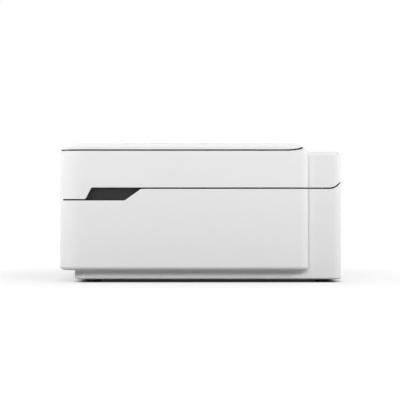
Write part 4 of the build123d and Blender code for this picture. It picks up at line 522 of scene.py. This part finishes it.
bed_top, film_thick = 0.1616, 0.00014
film_edge = ((0.392, 0.273), -0.0335, (0.024, 10), (0.004, 4))
film_window = ((0.299, 0.218), -0.013, (0.003, 4), (0.003, 4))
# Partly painted shade: the film is black so that the seam under the lid's edge reads dark.
film_black = moulded("satin_black_polyester_film", "#242527", "#1A1B1D",
                     grain=0.001, relief=0.00001, matte=0.46, polish=0.34)
outlines = []
for size, middle, *corners in (film_edge, film_window):
    bpy.ops.object.select_all(action="DESELECT")
    bpy.ops.mesh.primitive_plane_add(size=1, location=(0, middle, bed_top + air))
    outline = bpy.context.object
    outline.scale = (*size, 1)
    bpy.ops.object.transform_apply(location=False, rotation=False, scale=True)
    for end, (radius, steps) in zip((-1, 1), corners):
        pick(outline, "VERT", lambda p: p.y * end > size[1] / 2 - 0.0001)
        bpy.ops.mesh.bevel(offset=radius, segments=steps, affect="VERTICES")
    pick(outline, "FACE", lambda p: True)
    bpy.ops.mesh.delete(type="ONLY_FACE")
    bpy.ops.object.mode_set(mode="OBJECT")
    outlines.append(outline)
film = outlines[0]
weld(film, outlines[1:])
bpy.ops.object.mode_set(mode="EDIT")
bpy.ops.mesh.select_mode(type="EDGE")
bpy.ops.mesh.select_all(action="SELECT")
bpy.ops.mesh.bridge_edge_loops()
pick(film, "FACE", lambda p: True)
bpy.ops.mesh.extrude_region_move(TRANSFORM_OT_translate={"value": (0, 0, film_thick)})
close_up()
settle(film, "bed_film", film_black, "scanner")


# Size marks: short white lines along two edges of the window, and the corner arrow for laying a sheet.
# Screen-printed on the film in white ink, which stands up by a few hundredths of a millimetre.
mark_ink = moulded("white_screen_print_ink", "#E8E8E6", "#DDDDDB",
                   grain=0.0006, relief=0.00001, matte=0.6, polish=0.5)
print_low = bed_top + air + film_thick
mark_long, mark_wide = 0.004, 0.0006
sheet_lengths, sheet_left, rear_y = (0.105, 0.148, 0.210, 0.216, 0.297), -0.1495, 0.0985
sheet_widths, sheet_rear, side_x = (0.105, 0.148, 0.176, 0.210, 0.216), 0.096, 0.1525
rear_row = [((sheet_left + length, rear_y), (mark_wide, mark_long)) for length in sheet_lengths]
side_row = [((side_x, sheet_rear - width), (mark_long, mark_wide)) for width in sheet_widths]
arrow_place, arrow_size, arrow_turn = (0.1555, rear_y, print_low), 0.0042, math.radians(105)
marks = []
for at, size in rear_row + side_row:
    bpy.ops.object.select_all(action="DESELECT")
    bpy.ops.mesh.primitive_plane_add(size=1, location=(*at, print_low))
    mark = bpy.context.object
    mark.scale = (*size, 1)
    bpy.ops.object.transform_apply(location=False, rotation=False, scale=True)
    pick(mark, "FACE", lambda p: True)
    bpy.ops.mesh.extrude_region_move(TRANSFORM_OT_translate={"value": (0, 0, ink_film)})
    bpy.ops.object.mode_set(mode="OBJECT")
    marks.append(mark)
bpy.ops.object.select_all(action="DESELECT")
bpy.ops.mesh.primitive_circle_add(vertices=3, radius=arrow_size, fill_type="NGON", location=arrow_place,
                                  rotation=(0, 0, arrow_turn))
arrow = bpy.context.object
pick(arrow, "FACE", lambda p: True)
bpy.ops.mesh.extrude_region_move(TRANSFORM_OT_translate={"value": (0, 0, ink_film)})
bpy.ops.object.mode_set(mode="OBJECT")
weld(arrow, marks)
bpy.ops.object.mode_set(mode="EDIT")
close_up()
settle(arrow, "size_marks", mark_ink, "scanner")


# Socket lining: three black strips in the round trough of the casing that the lid's rear nose turns in, put
# there as painted shade so that the gap behind the nose reads dark. Drawn as flocked tape, 0.5 mm thick,
# with breaks at the lift posts; a thicker lip along its rear edge comes close to the nose and closes the
# view through the gap.
# Painted shade: these black strips stand for the shade in the trough behind the lid's nose.
painted_trough_shade = moulded("black_painted_trough_shade_tape", "#1B1B1C", "#121213",
                grain=0.0007, relief=0.00005, matte=1.0, polish=0.92)
lid_under, nose_y, nose_z, nose_gap = 0.1634, 0.1215, 0.168, 0.0048
sweep_y, sweep_z, sweep_radius = 0.104, 0.2629, 0.1013
tape, glue, tape_lip = 0.0005, 0.00002, (0, -0.00087, 0.00068)
tape_start, tape_turn, tape_lip_from, tape_end = [math.radians(a) for a in (3.4, 10.45, 46, 58)]
tape_sides, break_out, break_in = 0.1978, 0.12, 0.1
reach = sweep_radius - tape / 2 - glue
tape_y, tape_z = sweep_y + reach * math.sin(tape_start), sweep_z - reach * math.cos(tape_start)
for name, left, right in (("left", -tape_sides, -break_out), ("middle", -break_in, break_in),
                          ("right", break_out, tape_sides)):
    bpy.ops.object.select_all(action="DESELECT")
    bpy.ops.mesh.primitive_plane_add(size=1, location=((left + right) / 2, tape_y, tape_z),
                                     rotation=(math.radians(90) + tape_start, 0, 0))
    strip = bpy.context.object
    strip.scale = (right - left, tape, 1)
    bpy.ops.object.transform_apply(location=True, rotation=True, scale=True)
    pick(strip, "FACE", lambda p: True)
    bpy.ops.mesh.spin(steps=6, angle=tape_start - tape_turn, center=(0, sweep_y, sweep_z), axis=(1, 0, 0))
    bpy.ops.mesh.spin(steps=8, angle=tape_turn - tape_end, center=(0, nose_y, nose_z), axis=(1, 0, 0))
    bpy.ops.mesh.select_all(action="SELECT")
    bpy.ops.mesh.remove_doubles(threshold=0.000001)
    pick(strip, "FACE", lambda p: math.hypot(p.y - nose_y, p.z - nose_z) < nose_gap - tape * 0.8
         and math.atan2(p.y - nose_y, nose_z - p.z) > tape_lip_from)
    bpy.ops.mesh.extrude_region_move(TRANSFORM_OT_translate={"value": tape_lip})
    close_up()
    settle(strip, f"socket_shade_lining_{name}", painted_trough_shade, "scanner")


# Lid and lift posts: the white document lid, and the two posts that it rises on and turns about.
# The same ABS as the casing; the rib round the lid's underside and the lower half of its nose are painted
# black as shade, so that the seam between the lid and the casing and the trough behind the nose read dark.
nose_start, nose_half, facing_down, skin = 0.101, 0.1657, -0.3, 0.00005
lid_abs = moulded("white_abs_with_painted_seam_shade", "#F0F0F0", "#EBEBEB",
                  grain=0.0011, relief=0.00002, matte=0.56, polish=0.46)
tree = lid_abs.node_tree
coords = node(tree, "ShaderNodeTexCoord").outputs
spot = node(tree, "ShaderNodeSeparateXYZ", {0: coords["Object"]}).outputs
facing = node(tree, "ShaderNodeSeparateXYZ", {0: coords["Normal"]}).outputs
rib = node(tree, "ShaderNodeMath", {0: spot[2], 1: lid_under - skin}, operation="LESS_THAN").outputs[0]
behind = node(tree, "ShaderNodeMath", {0: spot[1], 1: nose_start}, operation="GREATER_THAN").outputs[0]
below = node(tree, "ShaderNodeMath", {0: spot[2], 1: nose_half}, operation="LESS_THAN").outputs[0]
down = node(tree, "ShaderNodeMath", {0: facing[2], 1: facing_down}, operation="LESS_THAN").outputs[0]
nose = node(tree, "ShaderNodeMath", {0: behind, 1: below}, operation="MULTIPLY").outputs[0]
nose = node(tree, "ShaderNodeMath", {0: nose, 1: down}, operation="MULTIPLY").outputs[0]
painted_seam_shade = node(tree, "ShaderNodeMath", {0: rib, 1: nose}, operation="MAXIMUM").outputs[0]
# Painted shade: this black stands for the shade in the seam under the lid and in the trough behind its
# nose.
overlay(lid_abs, painted_seam_shade, "#1A1A1B", rough=0.9)
coat(lid_abs, "lid")
coat(white_abs, "lid_posts")


# Edge lip: a thin black skirt under the front and side edges of the lid, put in the seam as painted shade.
# Drawn as black elastomer, a strip just inside the edge, so that the seam is dark all along;
# it ends where the lid curves up.
# Painted shade: this black strip stands for the shade in the seam between the lid and the casing.
painted_seam_shade_strip = moulded("black_painted_seam_shade_strip", "#1A1A1B", "#131314",
                     grain=0.001, relief=0.00002, matte=0.95, polish=0.8)
lip_side, lip_front, lip_rear, lip_corner = 0.1979, -0.1719, 0.1010, 0.0259
lip_wall, lip_drop, spare = 0.0005, 0.00135, 0.03
bpy.ops.object.select_all(action="DESELECT")
bpy.ops.mesh.primitive_plane_add(size=1, location=(0, (lip_front + lip_rear + spare) / 2, lid_under))
lip = bpy.context.object
lip.scale = (2 * lip_side, lip_rear + spare - lip_front, 1)
bpy.ops.object.transform_apply(location=True, rotation=False, scale=True)
pick(lip, "VERT", lambda p: p.y < 0)
bpy.ops.mesh.bevel(offset=lip_corner, segments=12, affect="VERTICES")
bpy.ops.mesh.select_mode(type="FACE")
bpy.ops.mesh.select_all(action="SELECT")
bpy.ops.mesh.inset(thickness=lip_wall)
bpy.ops.mesh.delete(type="FACE")
bpy.ops.mesh.select_all(action="SELECT")
bpy.ops.mesh.extrude_region_move(TRANSFORM_OT_translate={"value": (0, 0, -lip_drop)})
bpy.ops.mesh.select_all(action="SELECT")
bpy.ops.mesh.bisect(plane_co=(0, lip_rear, 0), plane_no=(0, 1, 0), use_fill=True, clear_outer=True)
close_up()
settle(lip, "lid_edge_shade_lip", painted_seam_shade_strip, "lid")


# Lid bumpers: two small pads under the front edge of the lid, so that it closes softly.
# Clear-grey polyurethane, cast as low domes with a sticky back.
bumper_gel = moulded("cast_grey_polyurethane", "#9A9C9E", "#8C8E90",
                     grain=0.0015, relief=0.00001, matte=0.4, polish=0.28)
bumper_x, bumper_y, bumper_radius, bumper_height, bumper_dome = 0.12, -0.1699, 0.0013, 0.0014, 0.0007
for name, x in (("left", -bumper_x), ("right", bumper_x)):
    bpy.ops.object.select_all(action="DESELECT")
    bpy.ops.mesh.primitive_cylinder_add(vertices=24, radius=bumper_radius, depth=bumper_height,
                                        location=(x, bumper_y, lid_under - bumper_height / 2))
    bumper = bpy.context.object
    pick(bumper, "VERT", lambda p: p.z < 0)
    bpy.ops.mesh.bevel(offset=bumper_dome, segments=4, affect="EDGES")
    bpy.ops.object.mode_set(mode="OBJECT")
    settle(bumper, f"lid_bumper_{name}", bumper_gel, "lid")


# Reflector plate: the white sheet under the lid that presses the original on the glass.
# Foam-backed polystyrene with a smooth, even face, faintly dappled by the foam behind it.
white_sheet = moulded("foam_backed_white_polystyrene", "#F1F1EF", "#E9E9E7",
                      grain=0.004, relief=0.00002, matte=0.42, polish=0.34)
coat(white_sheet, "reflector_plate")


# Control panel: the tilting front panel with the screen and the power button.
# Charcoal ABS with a satin finish, a little finer than the casing's.
charcoal_abs = moulded("satin_charcoal_abs", "#36373A", "#2D2E31",
                       grain=0.0009, relief=0.00001, matte=0.44, polish=0.32)
coat(charcoal_abs, "control_panel")


# Screen: a flat touch display let into the panel, switched off.
# Black-backed cover glass, polished, with the haze that fingers leave.
cover_glass = moulded("black_backed_cover_glass", "#0B0B0D", "#060607",
                      grain=0.03, relief=0.000001, matte=0.16, polish=0.05)
cover_glass.node_tree.nodes["Principled BSDF"].inputs["Coat Weight"].default_value = 0.5
cover_glass.node_tree.nodes["Principled BSDF"].inputs["Coat Roughness"].default_value = 0.04
coat(cover_glass, "display")


# Power button: the round key at the left of the screen.
# Moulded in a lighter grey than the panel, with a dished satin face.
button_grey = moulded("satin_mid_grey_abs", "#6E7073", "#636568",
                      grain=0.0008, relief=0.00001, matte=0.42, polish=0.32)
coat(button_grey, "power_button")


# Power sign: the broken ring and the stroke on the face of the power button.
# Pad-printed in white, a few hundredths of a millimetre thick.
def stroke(width, height, place, turn=0.0):
    """One printed bar on an upright face that looks to the front."""
    bpy.ops.object.select_all(action="DESELECT")
    bpy.ops.mesh.primitive_plane_add(size=1, location=place,
                                     rotation=(math.radians(90), math.radians(turn), 0))
    bar = bpy.context.object
    bar.scale = (width, height, 1)
    bpy.ops.object.transform_apply(location=False, rotation=True, scale=True)
    pick(bar, "FACE", lambda p: True)
    bpy.ops.mesh.extrude_region_move(TRANSFORM_OT_translate={"value": (0, -ink_film, 0)})
    close_up()
    return bar


sign_ink = moulded("white_pad_print_ink", "#EDEDEB", "#E2E2E0",
                   grain=0.0006, relief=0.00001, matte=0.55, polish=0.45)
button_low, button_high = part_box("power_button")
button_x, button_z = (button_low[0] + button_high[0]) / 2, (button_low[2] + button_high[2]) / 2
button_face = button_low[1] - air
ring_radius, ring_line, ring_break, ring_down = 0.0027, 0.0005, 0.0009, 0.0002
dash_long, dash_up = 0.0026, 0.0017
bpy.ops.object.select_all(action="DESELECT")
bpy.ops.mesh.primitive_circle_add(vertices=48, radius=ring_radius, fill_type="NGON",
                                  location=(button_x, button_face, button_z - ring_down),
                                  rotation=(math.radians(90), 0, 0))
ring = bpy.context.object
bpy.ops.object.transform_apply(location=False, rotation=True, scale=True)
pick(ring, "FACE", lambda p: True)
bpy.ops.mesh.inset(thickness=ring_line)
bpy.ops.mesh.delete(type="FACE")
pick(ring, "FACE", lambda p: p.z > 0 and abs(p.x) < ring_break)
bpy.ops.mesh.delete(type="FACE")
bpy.ops.mesh.select_all(action="SELECT")
bpy.ops.mesh.extrude_region_move(TRANSFORM_OT_translate={"value": (0, -ink_film, 0)})
close_up()
dash = stroke(ring_line, dash_long, (button_x, button_face, button_z + dash_up))
weld(ring, [dash])
settle(ring, "power_sign", sign_ink, "power_button")


# Touch signs: home, back and cancel, one above the other at the right of the screen.
# Printed on the panel in the same white ink as the power sign: a house, an arrow and a cross.
panel_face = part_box("control_panel")[0][1] - air
sign_x, home_z, back_z, cancel_z = 0.074, 0.1405, 0.1305, 0.1205
home_wide, home_tall, roof_radius, roof_up, roof_slope = 0.0042, 0.0034, 0.0036, 0.0032, 0.55
back_long, back_line, back_aside, point_radius, point_aside = 0.0044, 0.0008, 0.0008, 0.0024, 0.0018
cancel_long, cancel_arm, cancel_line, cancel_aside = 0.0064, 0.0027, 0.0009, 0.0013
signs = [
    stroke(home_wide, home_tall, (sign_x, panel_face, home_z)),
    stroke(back_long, back_line, (sign_x + back_aside, panel_face, back_z)),
    stroke(cancel_long, cancel_line, (sign_x, panel_face, cancel_z), 45),
    stroke(cancel_arm, cancel_line, (sign_x + cancel_aside, panel_face, cancel_z + cancel_aside), -45),
    stroke(cancel_arm, cancel_line, (sign_x - cancel_aside, panel_face, cancel_z - cancel_aside), -45),
]
for place, radius, turn, slope in (((sign_x, panel_face, home_z + roof_up), roof_radius, 0, roof_slope),
                                   ((sign_x - point_aside, panel_face, back_z), point_radius, 90, 1)):
    bpy.ops.object.select_all(action="DESELECT")
    bpy.ops.mesh.primitive_circle_add(vertices=3, radius=radius, fill_type="NGON", location=place,
                                      rotation=(0, 0, math.radians(turn)))
    tip = bpy.context.object
    bpy.ops.object.transform_apply(location=False, rotation=True, scale=True)
    tip.scale = (1, slope, 1)
    tip.rotation_euler = (math.radians(90), 0, 0)
    bpy.ops.object.transform_apply(location=False, rotation=True, scale=True)
    pick(tip, "FACE", lambda p: True)
    bpy.ops.mesh.extrude_region_move(TRANSFORM_OT_translate={"value": (0, -ink_film, 0)})
    close_up()
    signs.append(tip)
weld(signs[0], signs[1:])
settle(signs[0], "touch_signs", sign_ink, "panel")


# Status light: the slim bar in the panel under the power button, unlit.
# Milky polycarbonate, moulded with soft front edges and pressed in nearly flush.
milky_light = moulded("milky_polycarbonate", "#D5E2EA", "#C8D6DF",
                      grain=0.0006, relief=0.00001, matte=0.3, polish=0.2)
light_size, light_edge, light_sunk, light_z = (0.008, 0.0004, 0.0014), 0.00015, 0.0001, 0.1165
bpy.ops.object.select_all(action="DESELECT")
bpy.ops.mesh.primitive_cube_add(size=1, location=(button_x, panel_face + light_sunk, light_z))
lamp_bar = bpy.context.object
lamp_bar.scale = light_size
bpy.ops.object.transform_apply(location=False, rotation=False, scale=True)
pick(lamp_bar, "VERT", lambda p: p.y < 0)
bpy.ops.mesh.bevel(offset=light_edge, segments=3, affect="EDGES")
bpy.ops.object.mode_set(mode="OBJECT")
settle(lamp_bar, "status_light", milky_light, "panel")


# Camera: a long lens, a little above the middle of the printer's side and square to it.
# It stands at the photograph's viewing angle, 2.2 m away, where the far edges hide behind the near ones.
bpy.ops.object.camera_add(location=(2.2, -0.0004, 0.1014), rotation=(math.radians(90), 0, math.radians(90)))
camera = bpy.context.object
camera.data.lens = 147.25
camera.data.clip_end = 60
scene = bpy.context.scene
scene.camera = camera
scene.view_settings.view_transform = "Standard"


# Room: a soft white studio round the printer, with most of its light from overhead.
# It is white to the camera and in reflections, and much dimmer as a lamp, so the floor keeps the shadow.
def looked_at(tree):
    """1 for a ray from the camera, off a gloss or through glass, and 0 for one that only carries light."""
    ray = node(tree, "ShaderNodeLightPath").outputs
    seen = ray["Is Camera Ray"]
    for other in ("Is Glossy Ray", "Is Transmission Ray"):
        seen = node(tree, "ShaderNodeMath", {0: seen, 1: ray[other]}, operation="MAXIMUM").outputs[0]
    return seen


room = bpy.data.worlds.new("white_room")
scene.world = room
room.use_nodes = True
tree = room.node_tree
tree.nodes.clear()
aim = node(tree, "ShaderNodeSeparateXYZ", {0: node(tree, "ShaderNodeTexCoord").outputs["Generated"]})
overhead = node(tree, "ShaderNodeMapRange", {"Value": aim.outputs[2], "From Min": 0.12, "From Max": 0.75,
                                             "To Min": 0.06, "To Max": 0.42},
                interpolation_type="SMOOTHSTEP")
strength = node(tree, "ShaderNodeMix", {0: looked_at(tree), 2: overhead.outputs[0], 3: 1.0})
glow = node(tree, "ShaderNodeBackground", {"Color": (1, 1, 1, 1), "Strength": strength.outputs[0]})
node(tree, "ShaderNodeOutputWorld", {"Surface": glow.outputs[0]})


# Floor: a pale matte sheet that fades to white away from the printer, with a painted shadow round its base.
# Under the plinth it has little but the light that falls on it, so the gap stays dark; further out, a glow
# that only the camera and reflections see lifts it to the white of the room, and this glow is weaker near
# the printer as painted shadow.
plinth_middle, plinth_half = (0, 0.0094, 0), (0.180, 0.157, 0)
bpy.ops.object.select_all(action="DESELECT")
bpy.ops.mesh.primitive_plane_add(size=40)
floor = bpy.context.object
floor.name = "floor"
pale_floor = bpy.data.materials.new("pale_studio_floor")
pale_floor.use_nodes = True
tree = pale_floor.node_tree
tree.nodes.clear()
seen = looked_at(tree)
place = node(tree, "ShaderNodeTexCoord").outputs["Object"]
away = node(tree, "ShaderNodeVectorMath", {0: place, 1: plinth_middle}, operation="SUBTRACT").outputs[0]
away = node(tree, "ShaderNodeVectorMath", {0: away}, operation="ABSOLUTE").outputs[0]
away = node(tree, "ShaderNodeVectorMath", {0: away, 1: plinth_half}, operation="SUBTRACT").outputs[0]
away = node(tree, "ShaderNodeVectorMath", {0: away, 1: (0, 0, 0)}, operation="MAXIMUM").outputs[0]
away = node(tree, "ShaderNodeVectorMath", {0: away}, operation="LENGTH").outputs["Value"]
# Painted shadow: the glow is almost nil at the plinth's edge and grows with distance, so the floor is
# darker near the printer.
painted_contact_shadow_glow = node(tree, "ShaderNodeMapRange", {"Value": away, "From Min": 0.0, "From Max": 0.012,
                                          "To Min": 0.02, "To Max": 0.53})
far = node(tree, "ShaderNodeMapRange", {"Value": away, "From Min": 0.05, "From Max": 1,
                                        "To Min": 0.0, "To Max": 0.4})
lift = node(tree, "ShaderNodeMath", {0: painted_contact_shadow_glow.outputs[0], 1: far.outputs[0]}, operation="ADD")
lift = node(tree, "ShaderNodeMath", {0: seen, 1: lift.outputs[0]}, operation="MULTIPLY")
tone = node(tree, "ShaderNodeMix", {0: seen, 6: linear("#8C8C8C"), 7: linear("#A0A0A0")}, data_type="RGBA")
matte = node(tree, "ShaderNodeBsdfDiffuse", {"Color": tone.outputs[2]})
glow = node(tree, "ShaderNodeEmission", {"Color": (1, 1, 1, 1), "Strength": lift.outputs[0]})
both = node(tree, "ShaderNodeAddShader", {0: matte.outputs[0], 1: glow.outputs[0]})
node(tree, "ShaderNodeOutputMaterial", {"Surface": both.outputs[0]})
floor.data.materials.append(pale_floor)


# Lamps: a long soft strip off each side of the printer and a short one off each corner.
# They hang a little higher than it and look down at a slant, unseen by the camera and in reflections.
strip_width = 0.2
for place, tilt, turn, length, power in (
    ((0.72, 0.0, 0.38), 62, 90, 0.9, 2.38),
    ((0.0, -0.7, 0.38), 62, 0, 0.9, 1.15),
    ((0.0, 0.7, 0.38), 62, 180, 0.9, 1.8),
    ((-0.72, 0.0, 0.38), 62, -90, 0.9, 2.38),
    ((0.40, -0.70, 0.34), 68, 21, 0.2, 1.75),
    ((0.45, 0.66, 0.34), 68, 152, 0.2, 1.35),
    ((-0.40, -0.70, 0.34), 68, -21, 0.2, 1.75),
    ((-0.45, 0.66, 0.34), 68, -152, 0.2, 1.35),
):
    bpy.ops.object.light_add(type="AREA", location=place,
                             rotation=(math.radians(tilt), 0, math.radians(turn)))
    lamp = bpy.context.object
    lamp.visible_camera = lamp.visible_glossy = False
    lamp.data.shape = "RECTANGLE"
    lamp.data.size = length
    lamp.data.size_y = strip_width
    lamp.data.energy = power
